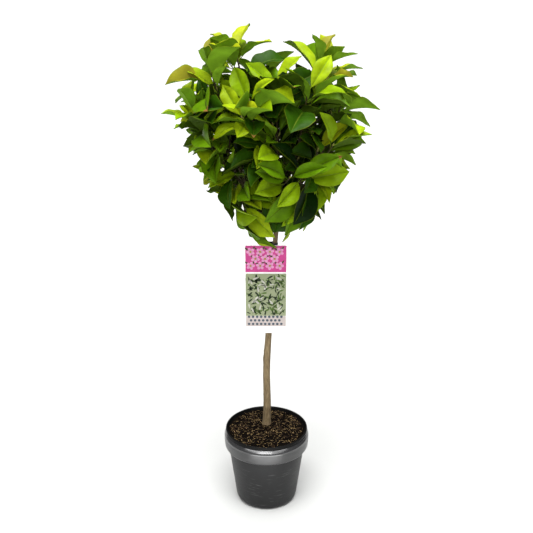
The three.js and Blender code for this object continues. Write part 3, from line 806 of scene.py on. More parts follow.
def probe_width(shares):
    """The outline in the solids, which widens evenly from the stalk to the first ring."""
    grown = (shares - PETIOLE_SHARE) / (LEAF_FIRST_RING - PETIOLE_SHARE)
    return outline(np.maximum(shares, LEAF_FIRST_RING)) * np.clip(grown, 0, 1)


STALK_WIDTHS = probe_width(STALK_PROBES)
BLADE_WIDTHS = probe_width(BLADE_PROBES)


class Leaf:
    """One leaf: its root, its frame, its size and bend, and how old it is."""

    def __init__(self, branch, order, from_tip, effort, size):
        draw = branch.draw
        age = min(1, from_tip / OLD_LEAF)
        share = 1 - from_tip / branch.length
        turn = math.radians(GOLDEN_ANGLE * order + draw.swing(lerp(*LEAF_WANDER, effort)))
        grown = min(1, age / LEAF_GROWN_BY)
        opened = min(1, age / LEAF_SPREADS_BY)
        spread = math.radians(lerp(*LEAF_SPREAD, opened) + draw.swing(LEAF_SPREAD_VARIES))
        stem = branch.axis.directions(share)
        across = square_to(stem, branch.across)
        aim = across * math.cos(turn) + crossed(stem, across) * math.sin(turn)
        self.root = branch.axis.points(share)
        out = unit(self.root - HEAD_HEART)
        along = stem * math.cos(spread) + aim * math.sin(spread)
        height = (self.root[2] - HEAD_BOTTOM) / (HEAD_TOP - HEAD_BOTTOM)
        sag = lerp(*LEAF_SAG, age) * lerp(1, LEAF_SAG_TOP, height) * (1 + draw.swing(LEAF_SAG_VARIES))
        self.along = unit(along + out * lerp(*LEAF_OUTWARD, age) - UP * sag)
        light = stem * LEAF_LIGHT_STEM * (1 - age)
        light = light + UP * lerp(*LEAF_LIGHT_UP, age) + out * lerp(*LEAF_LIGHT_OUT, age)
        facing = square_to(self.along, light)
        roll = math.radians(draw.swing(LEAF_ROLL))
        self.face = facing * math.cos(roll) + crossed(self.along, facing) * math.sin(roll)
        self.across = crossed(self.face, self.along)
        length = lerp(*LEAF_LENGTH, grown) * (1 + draw.swing(LEAF_VARIES)) * (1 - LEAF_SHRINK * effort)
        self.length = length * size
        slimness = lerp(*LEAF_WIDTH, grown) * (1 + draw.swing(LEAF_VARIES))
        self.half_width = self.length * slimness / 2
        weight = lerp(LEAF_BEND_LEVEL, 1, self.along[2])
        self.bend = math.radians(lerp(*LEAF_BEND, age) * (1 + draw.swing(LEAF_VARIES)) * weight)
        self.age = age
        self.shoot = branch.shoot
        self.stalk = self.probes(STALK_PROBES, STALK_WIDTHS)
        self.blade = self.probes(BLADE_PROBES, BLADE_WIDTHS)
        self.whole = np.concatenate([self.stalk, self.blade])
        self.middle = self.midrib(np.array([0.5]))[0]

    def midrib(self, shares):
        turned_by = self.bend * shares
        forward = self.length * np.sin(turned_by) / self.bend
        down = self.length * (1 - np.cos(turned_by)) / self.bend
        return self.root + forward[:, None] * self.along - down[:, None] * self.face

    def probes(self, shares, widths):
        """Points all over a stretch of the leaf."""
        width = np.maximum(PETIOLE_RADIUS, self.half_width * widths)
        sides = (width[:, None] * PROBES_ACROSS)[..., None] * self.across
        return (self.midrib(shares)[:, None] + sides).reshape(-1, 3)


def has_room(leaf, limbs, crowd, room):
    """Whether a leaf keeps to the head's space and clear of the limbs and the leaves before it."""
    if not inside_head(leaf.whole):
        return False
    near = np.linalg.norm(limbs.points - leaf.middle, axis=1) < LIMB_NEAR
    own = limbs.shoots == leaf.shoot
    if not limbs.clear_of(leaf.blade, room["own_limb"], near & own):
        return False
    if not limbs.clear_of(leaf.whole, room["limb"], near & ~own):
        return False
    return crowd.clear_of(leaf, room)


def put_out_leaves(branches, limbs, crowd, room):
    """Adds leaves where branches are bare and there is room, youngest first on every branch."""
    most = max(max(branch.bare_places, default=0) for branch in branches)
    for order in range(most + 1):
        for branch in branches:
            if order not in branch.bare_places:
                continue
            for attempt in range(room["tries"]):
                place = branch.bare_places[order]
                leaf = Leaf(branch, order, place, attempt / room["tries"], room["size"])
                if has_room(leaf, limbs, crowd, room):
                    crowd.add(leaf)
                    del branch.bare_places[order]
                    break


def grown_head():
    """The shoots, their twigs and all leaves: first those of the solids, then finer ones between."""
    shoots = [planned_shoot(order, *plan) for order, plan in enumerate(SHOOTS.values())]
    limbs = Limbs()
    heights = np.linspace(TRUNK_LOW, TRUNK_HIGH, TRUNK_PROBES + 1)
    limbs.add(trunk_axis(heights), trunk_radius(heights), -1)
    for shoot in shoots:
        limbs.add(*shoot.probes(), shoot.shoot)
    crowd, twigs = Crowd(), []
    for plans, first, room in (([MAIN_TWIG], 0, SOLID_ROOM), (FINER_TWIGS, FINER_FROM, FINER_ROOM)):
        for shoot in shoots[first:]:
            for plan in plans:
                twig = side_twig(shoot, limbs, **plan)
                if twig is not None:
                    twigs.append(twig)
                    limbs.add(*twig.probes(), shoot.shoot)
        branches = sorted([*shoots[first:], *twigs], key=lambda branch: branch.shoot)
        put_out_leaves(branches, limbs, crowd, room)
    return shoots, twigs, crowd.leaves


# Leaf blades

SHADES = ("deep", "dark", "middle", "fresh", "bright", "yellow", "bronze")
SHADE_SHARES = (0.18, 0.22, 0.22, 0.19, 0.12, 0.05, 0.02)
PALE_SHADES = 3
# Pale margins on light leaves are a painted edge highlight; margins and midribs of darker leaves are
# darkened along with those leaves
MARGIN_TONES = {"pale": 1.0, "green": 0.42}
MIDRIB_TONES = {"pale": 1.0, "green": 0.42}
# Undersides of light leaves are painted much paler, as painted light shining through the blade; those of
# the other leaves darker, as painted shade
UNDERSIDE_PAINTED_LIGHT = {"pale": 2.4, "green": 0.6}
WITHERED_SHARE = 0.05
WITHERED_ROWS = 4
LOOK_SEED = 733
# Weights of each leaf's lightness: painted light on high, low and outer leaves, which leaves those deep
# inside darker as painted shade; real tone for young leaves, and a random spread by spray and by leaf
PAINTED_LIGHT_HIGH = 0.48
PAINTED_LIGHT_LOW = 0.56
LIGHT_YOUNG = 0.2
PAINTED_LIGHT_OUTER = 0.5
LIGHT_SPRAY_VARIES = 0.06
LIGHT_LEAF_VARIES = 0.08
FOLD = (18, 46)
FOLD_YOUNG = 16
DROOP = (0.2, 0.7)
TWIST = 16
RIPPLES = (1.4, 2.8)
RIPPLE_VARIES = (0.3, 1.2)
BLADE_START = 0.001
LEAST_WIDTH = 0.6
QUILT_RISE = 6
RIB_HALF = 0.02
STALK_REACH = 1.25
STALK_TAPER = (1.45, 0.75)
STALK_SIDES = 6
STALK_RINGS = 7
TOP_ROUGHNESS = 0.42
RIB_ROUGHNESS = 0.45
UNDER_ROUGHNESS = 0.62
DRY_ROUGHNESS = 0.7
BUD_ROUGHNESS = 0.5


def dealt_shades(leaves, draw):
    """The shade of each leaf: lighter if young and alike within a spray, with painted light on high, low
    and outer leaves and painted shade on leaves deep inside the head.
    """
    middles = gathered(leaves, "middle")
    out = np.hypot(middles[:, 0] - HEAD_HEART[0], middles[:, 1] - HEAD_HEART[1])
    sideways = np.clip(out / np.maximum(head_radius(middles[:, 2]), HEAD_RADII[0]), 0, 1)
    upward = np.clip((middles[:, 2] - HEAD_WAIST) / (HEAD_TOP - HEAD_WAIST), 0, 1)
    outer = np.clip(np.hypot(sideways, upward), 0, 1)
    high = (middles[:, 2] - HEAD_BOTTOM) / (HEAD_TOP - HEAD_BOTTOM)
    youth = 1 - gathered(leaves, "age")
    spray = draw.normal(0, LIGHT_SPRAY_VARIES, len(SHOOTS))[gathered(leaves, "shoot")]
    # Painted light and shade: high, low and outer leaves get lighter colours, leaves deep in the head
    # darker ones
    light = PAINTED_LIGHT_HIGH * high**2 + PAINTED_LIGHT_LOW * (1 - high) ** 3
    light = light + LIGHT_YOUNG * youth + PAINTED_LIGHT_OUTER * outer
    light = light + spray + draw.normal(0, LIGHT_LEAF_VARIES, len(leaves))
    rank = np.argsort(np.argsort(light)) / len(leaves)
    return np.searchsorted(np.cumsum(SHADE_SHARES), rank, side="right").clip(0, len(SHADES) - 1)


def tone_groups(shades, tones):
    """The light leaves and the others, each with the tone of one of its parts. The light leaves are those
    dealt the lighter shades, which are partly painted light.
    """
    pale = shades >= PALE_SHADES
    return (("pale", pale, tones["pale"]), ("green", ~pale, tones["green"]))


def gathered(leaves, name):
    """One value of every leaf, as an array."""
    return np.array([getattr(leaf, name) for leaf in leaves])


class Blades:
    """All blades at once, as arrays of points by leaf, row and column."""

    def __init__(self, leaves, settings, draw):
        count = len(leaves)
        self.root, self.along = gathered(leaves, "root"), gathered(leaves, "along")
        self.face, self.across = gathered(leaves, "face"), gathered(leaves, "across")
        self.length, self.half = gathered(leaves, "length"), gathered(leaves, "half_width")
        self.bend, age = gathered(leaves, "bend"), gathered(leaves, "age")
        self.fold = np.tan(np.radians(lerp(*FOLD, draw.random(count)) + FOLD_YOUNG * (1 - age)))
        self.droop = self.fold * lerp(*DROOP, draw.random(count))
        self.twist = np.radians(draw.uniform(-TWIST, TWIST, count))
        self.ripples = draw.uniform(*RIPPLES, count)
        self.ripple = settings.ripple * draw.uniform(*RIPPLE_VARIES, count)
        self.phases = draw.uniform(0, 2 * math.pi, (count, 2))

    def frame(self, shares):
        """The midrib's points and the two directions square to it, by leaf and row."""
        turned_by = self.bend[:, None] * shares
        scale = (self.length / self.bend)[:, None]
        along, face = self.along[:, None], self.face[:, None]
        forward, down = scale * np.sin(turned_by), scale * (1 - np.cos(turned_by))
        centres = self.root[:, None] + forward[..., None] * along - down[..., None] * face
        normal = np.cos(turned_by)[..., None] * face + np.sin(turned_by)[..., None] * along
        twist = (self.twist[:, None] * shares)[..., None]
        across = self.across[:, None] * np.cos(twist) + normal * np.sin(twist)
        return centres, across, normal * np.cos(twist) - self.across[:, None] * np.sin(twist)

    def sheet(self, columns, lift, quilting, rib):
        """The points of one side of all blades, lifted off the middle and with a rib along it."""
        even = np.linspace(0, 1, BLADE_ROWS)
        eased = lerp(even, 0.5 - 0.5 * np.cos(math.pi * even), 0.5)
        blade = eased * (1 - 2 * BLADE_START) + BLADE_START
        shares = PETIOLE_SHARE + (1 - PETIOLE_SHARE) * blade
        centres, across, normal = self.frame(shares)
        pointed = 1 - TIP_PINCH * np.clip((blade - TIP_FROM) / (1 - TIP_FROM), 0, 1)
        width = np.maximum(PETIOLE_RADIUS * LEAST_WIDTH, self.half[:, None] * outline(shares) * pointed)
        side = width[..., None] * columns
        part = np.abs(columns)
        height = np.abs(side) * (self.fold[:, None, None] - self.droop[:, None, None] * part)
        phase = np.where(columns < 0, self.phases[:, :1], self.phases[:, 1:])[:, None]
        wave = np.sin(2 * math.pi * self.ripples[:, None, None] * blade[:, None] + phase)
        height += self.ripple[:, None, None] * wave * part**3 * outline(shares)[:, None]
        swell = np.sin(math.pi * VEIN_PAIRS * (blade[:, None] - VEIN_SLANT * part)) ** 2
        body = np.minimum(1, QUILT_RISE * part * (1 - part)) * outline(shares)[:, None]
        height += quilting * swell * body
        height += lift + rib * (part < RIB_HALF)
        sideways = side[..., None] * across[:, :, None]
        upwards = height[..., None] * normal[:, :, None]
        return centres[:, :, None] + sideways + upwards

    def stalks(self):
        """Points and faces of all leaf stalks."""
        shares = np.linspace(0, PETIOLE_SHARE * STALK_REACH, STALK_RINGS)
        centres, across, normal = self.frame(shares)
        radii = PETIOLE_RADIUS * np.linspace(*STALK_TAPER, STALK_RINGS)
        angles = spaced_turns(STALK_SIDES)
        spokes = across[:, :, None] * np.cos(angles)[:, None] - normal[:, :, None] * np.sin(angles)[:, None]
        points = centres[:, :, None] + spokes * radii[:, None, None]
        return points, grid_faces(STALK_RINGS, STALK_SIDES, True)


def strip_faces(columns, strips):
    """Which of a blade's quads lie in some of its strips."""
    strip = np.arange((BLADE_ROWS - 1) * (columns - 1)) % (columns - 1)
    return np.isin(strip, strips)


def spread_faces(faces, count, points_each):
    """The same faces for each of many copies of a shape."""
    return (faces + np.arange(count)[:, None, None] * points_each).reshape(-1, faces.shape[1])


# Wood

WOOD_SEED = 5081
TRUNK_RINGS = 420
TRUNK_SIDES = 56
TRUNK_SINK = 0.004
TRUNK_TOP_SHARE = 0.1
ANY_PHASE = 6.3
BARK_WAVES = 26
BARK_AROUND = (3, 17)
BARK_SLANT = 60
BARK_BEND = 1.6
BARK_BEND_PACE = (15, 70)
SCARS = 13
SCAR_LOWEST = 0.02
SCAR_SIZE = (0.003, 0.006)
KNEE = {"height": 0.391, "turn": math.radians(160), "size": 0.011}
KNEE_RISE = 1.5
BUD_SIDES = 8
BUD_RINGS = 9
BUD_FROM = 0.16
BUD_SPAN = 0.82
BUD_FULLNESS = 0.8
BUD_TIP = 0.03
BUD_SINK = 0.12
SHOOT_BUD = (0.016, 0.0026)
TWIG_BUD = (0.011, 0.0019)

# Limbs: furrows by their number round and their slant, and the knuckles where leaves once stood
FURROWS = ((5, 40), (8, -90))
KNUCKLE_STEP = 0.021
KNUCKLE_SHARPNESS = 12
KNUCKLE_RISE = 0.10

# Sides and rings of limbs, and how deep their furrows are against the trunk's
BOUGH_LIMBS = {"sides": 14, "rings": 24, "depth": 0.7}
SHOOT_LIMBS = {"sides": 10, "rings": 44, "depth": 0.35}
TWIG_LIMBS = {"sides": 8, "rings": 18, "depth": 0.28}


def bark_relief(angles, heights, draw):
    """Furrows that run up the trunk and wander, between -1 and 1, by height and angle."""
    relief = np.zeros((len(heights), len(angles)))
    for _ in range(BARK_WAVES):
        around = draw.integers(*BARK_AROUND)
        upward = draw.uniform(-BARK_SLANT, BARK_SLANT)
        size = draw.uniform(0, BARK_BEND)
        pace = draw.uniform(*BARK_BEND_PACE)
        bend = size * np.sin(heights * pace + draw.uniform(0, ANY_PHASE))
        relief += np.sin(around * angles + (upward * heights + bend + draw.uniform(0, ANY_PHASE))[:, None])
    return np.tanh(relief / math.sqrt(BARK_WAVES))


def bump_at(angles, heights, height, turn, size):
    """A round swelling at a height and turn on the trunk."""
    around = (angles - turn + math.pi) % (2 * math.pi) - math.pi
    across = around * trunk_radius(heights)[:, None] / size
    return np.exp(-(across**2) - (((heights - height) / size) ** 2)[:, None])


def limb_parts(branches, low, high, ridge, draw, sides, rings, depth):
    """Points and faces of limbs over a stretch of their axes, with furrowed bark."""
    parts = []
    for branch in branches:
        shares = np.linspace(low, high, rings)
        angles = spaced_turns(sides)
        *phases, knuckle_phase = draw.uniform(0, ANY_PHASE, 3)
        along = (shares * branch.length)[:, None]
        furrows = sum(
            np.sin(around * angles + slant * along + phase)
            for (around, slant), phase in zip(FURROWS, phases)
        )
        knuckles = np.sin(along * 2 * math.pi / KNUCKLE_STEP + knuckle_phase) ** KNUCKLE_SHARPNESS
        radii = lerp(*branch.radii, shares)[:, None] * (1 + KNUCKLE_RISE * knuckles)
        radii = radii + ridge * depth * furrows / len(FURROWS)
        axis = branch.axis
        parts.append(tube(axis.points(shares), axis.directions(shares), branch.across, radii, sides))
    return parts


def bud_parts(branches, length, radius):
    """Pointed buds on the tips of branches."""
    shares = np.linspace(0, 1, BUD_RINGS)
    swell = radius * np.sin(math.pi * np.minimum(1, shares * BUD_SPAN + BUD_FROM)) ** BUD_FULLNESS
    swell[-1] = radius * BUD_TIP
    parts = []
    for branch in branches:
        heading = branch.axis.directions(1.0)
        base = branch.axis.points(1.0) - heading * length * BUD_SINK
        centres = base + shares[:, None] * heading * length
        parts.append(tube(centres, np.tile(heading, (BUD_RINGS, 1)), branch.across, swell, BUD_SIDES))
    return parts


# Soil

SOIL_SEED = 911
SOIL_CROWN = 0.045
SOIL_EDGE_DROP = 0.0032
SOIL_RINGS = 70
SOIL_SIDES = 150
SOIL_MIDDLE = 0.002
SOIL_RING_POWER = 0.7
SOIL_FOOT_SHARE = 0.72
SOIL_FOOT_MIDDLE = 0.01
SOIL_UNEVENNESS = 0.0012
SOIL_WAVE_GAIN = 1.8

# Waves of the soil's surface: how fast each runs along X and Y, and its phase
SOIL_WAVES = (
    (37, 91, 0.3),
    (-113, 64, 1.7),
    (171, -140, 2.9),
    (240, 210, 0.9),
    (-330, 120, 4.1),
    (410, -380, 2.2),
)

# What lies on the soil: sizes, and how far each kind keeps from the pot's wall
CRUMB_SIZE = (0.0009, 0.0030)
CRUMB_CLEAR = 0.003
CRUMB_PUSH = (0.6, 1.35)
CRUMB_ROUGHNESS = 0.16
CRUMB_FLATNESS = 0.75
FIBRE_LENGTH = (0.003, 0.010)
FIBRE_RADIUS = (0.00014, 0.00030)
FIBRE_CLEAR = 0.0035
FIBRE_SHORTNESS = 1.6
FIBRE_CURL = 0.22
FIBRE_TILT = (-0.10, 0.16)
FIBRE_ARCH = 0.10
FIBRE_LIFT = 0.0007
FIBRE_TAPER = 1.6
FIBRE_RINGS = 6
FIBRE_SIDES = 4
CHIP_SIZE = (0.002, 0.0055)
CHIP_CLEAR = 0.006
CHIP_SHORTNESS = 1.5
CHIP_CORNERS = np.array([[-1, -0.5], [1, -0.6], [0.9, 0.5], [-0.8, 0.6]])
CHIP_VARIES = (0.75, 1.25)
CHIP_TILT = 0.35
CHIP_LIFT = 0.0012
CHIP_THICKNESS = 0.0007


def soil_height(radius):
    """The soil's mean height: level round the stem, then falling a little to the pot's wall."""
    _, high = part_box("soil")
    fall = np.clip((radius - SOIL_CROWN) / (high.x - SOIL_CROWN), 0, 1)
    return high.z - SOIL_EDGE_DROP * fall


def soil_lumps(x, y):
    """How far the soil's surface stands off its mean height at places."""
    total = sum(np.sin(a * x + b * y + phase) for a, b, phase in SOIL_WAVES)
    return SOIL_UNEVENNESS * (total / len(SOIL_WAVES) * SOIL_WAVE_GAIN)


def scattered(draw, count, reach):
    """Places strewn evenly over the soil, and their heights."""
    radius = reach * np.sqrt(draw.random(count))
    turn = draw.uniform(0, 2 * math.pi, count)
    x, y = radius * np.cos(turn), radius * np.sin(turn)
    return np.stack([x, y, soil_height(radius) + soil_lumps(x, y)], axis=1)


def turned_flat(x, y, turn):
    """Places in the plane, turned about its origin."""
    return x * np.cos(turn) - y * np.sin(turn), x * np.sin(turn) + y * np.cos(turn)


def crumb_parts(draw, count, reach):
    """Small rough lumps, each an eight-sided stone with pushed corners."""
    corners = np.array([[1, 0, 0], [0, 1, 0], [-1, 0, 0], [0, -1, 0], [0, 0, 1], [0, 0, -1]], float)
    upper = [[side, (side + 1) % 4, 4] for side in range(4)]
    lower = [[(side + 1) % 4, side, 5] for side in range(4)]
    size = lerp(*CRUMB_SIZE, draw.random(count) ** 2)
    turn = draw.uniform(0, 2 * math.pi, count)
    pushed = corners * draw.uniform(*CRUMB_PUSH, (count, len(corners), 1))
    pushed = pushed + draw.normal(0, CRUMB_ROUGHNESS, (count, len(corners), 3))
    x, y = turned_flat(pushed[..., 0], pushed[..., 1], turn[:, None])
    lump = np.stack([x, y, pushed[..., 2] * CRUMB_FLATNESS], axis=-1) * size[:, None, None]
    points = scattered(draw, count, reach)[:, None] + lump
    return [(points, spread_faces(np.array(upper + lower), count, len(corners)))]


def fibre_parts(draw, count, reach):
    """Bent straws that lie on the soil, thin at both ends."""
    middle = scattered(draw, count, reach)
    length = lerp(*FIBRE_LENGTH, draw.random(count) ** FIBRE_SHORTNESS)
    radius = lerp(*FIBRE_RADIUS, draw.random(count))
    turn = draw.uniform(0, 2 * math.pi, count)
    curl = draw.normal(0, FIBRE_CURL, count)
    rise = draw.uniform(*FIBRE_TILT, count)
    parts = []
    along = np.linspace(-0.5, 0.5, FIBRE_RINGS)
    for index in range(count):
        bearing = turn[index] + curl[index] * along * 2
        steps = np.stack([np.cos(bearing), np.sin(bearing), np.full(FIBRE_RINGS, rise[index])], axis=1)
        centres = middle[index] + steps * (along * length[index])[:, None]
        centres[:, 2] += FIBRE_LIFT + FIBRE_ARCH * length[index] * (0.25 - along**2)
        thin = radius[index] * (1 - FIBRE_TAPER * along**2)
        parts.append(tube(centres, unit(steps), UP, thin, FIBRE_SIDES))
    return parts


def chip_parts(draw, count, reach):
    """Flat chips of bark, tilted this way and that."""
    corners = len(CHIP_CORNERS)
    flats = [[0, 1, 2, 3], [7, 6, 5, 4]]
    edges = [[side, side + 4, (side + 1) % 4 + 4, (side + 1) % 4] for side in range(corners)]
    points = []
    for place in scattered(draw, count, reach):
        size = lerp(*CHIP_SIZE, draw.random() ** CHIP_SHORTNESS)
        turn = draw.uniform(0, 2 * math.pi)
        tilt = draw.normal(0, CHIP_TILT, 2)
        flat = CHIP_CORNERS * draw.uniform(*CHIP_VARIES, (corners, 2)) * size
        x, y = turned_flat(flat[:, 0], flat[:, 1], turn)
        z = x * tilt[0] + y * tilt[1] + CHIP_LIFT
        under = np.stack([x, y, z], axis=1)[::-1]
        points.append(place + np.concatenate([under + UP * CHIP_THICKNESS, under]))
    return [(np.array(points), spread_faces(np.array(flats + edges), count, 2 * corners))]


# Tag print

TAG_MARGIN = 0.0008
TAG_BEVEL = 0.00025
TAG_CORNER = 0.0025
PANEL_CORNER = 0.001
CORNER_STEPS = 4
ROSE_PANEL = (0.6282, 0.6962)
SAGE_PANEL = (0.4835, 0.6243)
BLUSH_TOP = 0.5120
PRINT_LIFT = 0.00006
PRINT_SEED = 61
BLUSH_GAP = 0.0004
BLOSSOM_SIZE = 0.0105
BLOSSOM_GRID = {"rows": 3, "columns": 4, "first": (0.0125, 0.0165), "step": (0.0236, 0.018)}
BLOSSOM_TURN = 0.4
BLOSSOM_EYE = 0.24
PETALS = 5
PETAL_OUT = 0.58
PETAL_HALVES = (0.46, 0.36)
SHADE_LEAF = (0.0062, 0.0030)
SHADE_LEAF_OUT = 1.12
SHADE_LEAF_TURNS = (0.9, 2.5)
SHADE_LEAF_POINT = 0.4
PRINTED_LEAF = (0.0045, 0.0085)
PRINTED_LEAF_WIDTH = 0.42
PRINTED_LEAF_POINT = 0.25
LIGHT_LEAVES = 90
DARK_LEAVES = 70
PALE_LEAVES = 26
BORDER_DOT = 0.00336
BORDER_GRID = {"rows": 3, "columns": 9, "first": (0.0078, 0.0065), "step": (0.0101, 0.0098)}
STRAP_STEPS = 24
STRAP_THICKNESS = 0.0009
STRAP_FILLET = 0.0004
STRAP_SEAM = 0.004


def oval(centre, half_length, half_width, turn, points=16, point_end=1.0):
    """An oval outline, pointed towards its far end where asked."""
    angles = spaced_turns(points)
    along = np.cos(angles) * half_length
    across = np.sin(angles) * half_width * (1 - (1 - point_end) * (0.5 + 0.5 * np.cos(angles)))
    x, z = turned_flat(along, across, turn)
    return np.stack([centre[0] + x, centre[1] + z], axis=1)


def panel(left, right, low, high, corner=PANEL_CORNER):
    """A rectangle's outline with rounded corners."""
    edge = []
    for x, z, start in ((right, high, 0), (left, high, 90), (left, low, 180), (right, low, 270)):
        inward = np.array([-1 if x == right else 1, -1 if z == high else 1]) * corner
        for step in range(CORNER_STEPS + 1):
            angle = math.radians(start + 90 * step / CORNER_STEPS)
            spoke = np.array([math.cos(angle), math.sin(angle)])
            edge.append(np.array([x, z]) + inward + corner * spoke)
    return np.array(edge)


def print_parts(outlines, front, lift):
    """Thin films of ink on the tag's front, each with its rim down to the card."""
    parts = []
    for shape in outlines:
        count = len(shape)
        top = np.stack([shape[:, 0], np.full(count, front - lift), shape[:, 1]], axis=1)
        foot = np.stack([shape[:, 0], np.full(count, front + PRINT_LIFT / 2), shape[:, 1]], axis=1)
        after = np.roll(np.arange(count), -1)
        rim = np.stack([np.arange(count), np.arange(count) + count, after + count, after], axis=1)
        parts.append((np.concatenate([top, foot]), np.arange(count)[None]))
        parts.append((np.concatenate([top, foot]), rim))
    return parts


def blossom(centre, size, turn):
    """The outlines of five round petals."""
    petals = []
    for petal in range(PETALS):
        angle = turn + petal * 2 * math.pi / PETALS
        away = np.array([math.cos(angle), math.sin(angle)]) * size * PETAL_OUT
        petals.append(oval(centre + away, *(size * half for half in PETAL_HALVES), angle))
    return petals


def staggered(corner, rows, columns, first, step):
    """Each row, column and place of a pattern whose every other row is shorter and half a step aside."""
    for row in range(rows):
        for column in range(columns - row % 2):
            steps = np.array([column + 0.5 * (row % 2), row])
            yield row, column, np.array(corner) + first + steps * step


def strewn_leaves(draw, count, left, right, low, high):
    """The outlines of pointed leaves strewn over a rectangle."""
    shapes = []
    for _ in range(count):
        half = lerp(*PRINTED_LEAF, draw.random())
        centre = (draw.uniform(left + half, right - half), draw.uniform(low + half, high - half))
        turn = draw.uniform(0, 2 * math.pi)
        shapes.append(oval(centre, half, half * PRINTED_LEAF_WIDTH, turn, point_end=PRINTED_LEAF_POINT))
    return shapes


# Pots: radii and heights of their turned profiles
AXIS = 0.0005
PLANTER_FOOT = 0.0777
PLANTER_FOOT_CORNER = 0.0782
PLANTER_TAPER = 0.1375
PLANTER_FOOT_FILLET = 0.0145
PLANTER_FLOOR = 0.004
HOLLOW_HEIGHT = 0.0025
HOLLOW_INSETS = (0.024, 0.021)
BAND_UNDER = 0.150
BAND_LOW = 0.156
BAND_RADIUS = 0.1084
BAND_SUNK = 0.0005
BAND_LEDGE = 0.0015
BAND_TOP_DOWN = 0.0230
LIP_FOOT_DOWN = 0.0160
LIP_SHOULDER_DOWN = 0.0120
LIP_TOP_DOWN = 0.0028
LIP_INSETS = (0.0063, 0.0082)
NURSERY_FOOT = 0.0714
NURSERY_TAPER = 0.148
NURSERY_WALL = 0.0016
NURSERY_LIP = 0.007
NURSERY_LIP_TAPER = 0.0004
NURSERY_LIP_WIDTH = 0.0042
NURSERY_LIP_STEP = 0.001


def planter_wall(height):
    return PLANTER_FOOT + PLANTER_TAPER * height


def nursery_wall(height):
    return NURSERY_FOOT + NURSERY_TAPER * height


# Stage: the softboxes' turns from the front and their shares of the power, and where things stand
WHITE = (1, 1, 1, 1)
FLOOR_RINGS = (0.0005, 0.3, 1, 4, 20, 120)
FLOOR_SIDES = 64
SOFTBOXES = {"left": (-0.72, 0.5), "middle": (-0.05, 1.2), "right": (0.66, 0.5)}
SOFTBOX_DISTANCE = 1.95
SOFTBOX_LEVEL = 1.56
SOFTBOX_AIM = Vector((0, 0, 0.4))
REFLECTOR_SIZE = (0.46, 0.26)
REFLECTOR_PLACE = (0, -0.40, 0.004)
SENSOR_WIDTH = 36


# Operators

class MAGNOLIA_OT_planter(bpy.types.Operator):
    """Build the planter and the nursery pot that stands in it"""

    bl_idname = "magnolia.planter"
    bl_label = "Planter"

    def execute(self, context):
        settings = context.scene.magnolia_planter
        self.outer_pot(settings)
        self.inner_pot(settings)
        return {"FINISHED"}

    def outer_pot(self, settings):
        """A tapered pot with a rounded foot, a broad band round its top and a soft lip."""
        _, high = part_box("planter")
        rim, top = high.x, high.z
        shell = settings.wall
        under = planter_wall(BAND_UNDER)
        outside = [
            (AXIS, HOLLOW_HEIGHT, 0),
            (PLANTER_FOOT - HOLLOW_INSETS[0], HOLLOW_HEIGHT, 0.002),
            (PLANTER_FOOT - HOLLOW_INSETS[1], 0, 0.0015),
            (PLANTER_FOOT_CORNER, 0, PLANTER_FOOT_FILLET),
            (under, BAND_UNDER, 0),
        ]
        band = [
            (under - BAND_SUNK, BAND_UNDER - BAND_SUNK, 0),
            (under + BAND_LEDGE, BAND_UNDER, 0.001),
            (BAND_RADIUS, BAND_LOW, 0.0028),
            (rim, top - BAND_TOP_DOWN, 0.0040),
            (rim, top - LIP_FOOT_DOWN, 0),
        ]
        lip = [
            (rim, top - LIP_FOOT_DOWN, 0),
            (rim, top - LIP_SHOULDER_DOWN, 0.0024),
            (rim - LIP_INSETS[0], top - LIP_TOP_DOWN, 0.0014),
            (rim - LIP_INSETS[1], top - LIP_TOP_DOWN, 0.0005),
            (BAND_RADIUS - shell, BAND_LOW, 0),
        ]
        inside = [
            (BAND_RADIUS - shell, BAND_LOW, 0),
            (under - shell, BAND_UNDER, 0.002),
            (planter_wall(PLANTER_FLOOR) - shell, PLANTER_FLOOR, 0.002),
            (AXIS, PLANTER_FLOOR, 0),
        ]
        # The band and the lip take the band's lighter grey, which is partly a painted sheen
        grey, smooth, scuff = settings.grey, settings.band, settings.scuff
        satin = plastic_finish("planter_satin", grey, scuff, roughness=0.44, gloss=0.25, wear=0.9)
        gloss = plastic_finish("planter_gloss", smooth, scuff, roughness=0.30, gloss=0.6, wear=0.2)
        worn = plastic_finish(
            "planter_worn", smooth, scuff, roughness=0.17, gloss=1.0, wear=0.05, grain_depth=0.000008
        )
        for name, profiles, finish in (
            ("planter_body", (outside, inside), satin),
            ("planter_band", (band,), gloss),
            ("planter_lip", (lip,), worn),
        ):
            parts = [turned(filleted(profile), settings.segments) for profile in profiles]
            piece(name, parts, finish, ["planter"])

    def inner_pot(self, settings):
        """A thin black pot with a rolled rim that stands a little above the planter."""
        low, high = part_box("nursery_pot")
        rim, top = high.x, high.z
        foot, lip = low.z, high.z - NURSERY_LIP
        profile = [
            (AXIS, foot, 0),
            (nursery_wall(foot), foot, 0.002),
            (nursery_wall(lip), lip, 0.0005),
            (rim - NURSERY_LIP_TAPER, lip, 0.0012),
            (rim, top, 0.0022),
            (rim - NURSERY_LIP_WIDTH, top, 0.0016),
            (nursery_wall(lip) - NURSERY_WALL, lip - NURSERY_LIP_STEP, 0.0015),
            (nursery_wall(foot) - NURSERY_WALL, foot + NURSERY_WALL, 0.001),
            (AXIS, foot + NURSERY_WALL, 0),
        ]
        black, dusty = settings.black, shade(settings.black, 3)
        finish = plastic_finish("nursery_plastic", black, dusty, roughness=0.5, gloss=0.1, wear=0.4)
        parts = [turned(filleted(profile), settings.segments)]
        piece("nursery_shell", parts, finish, ["nursery_pot"])


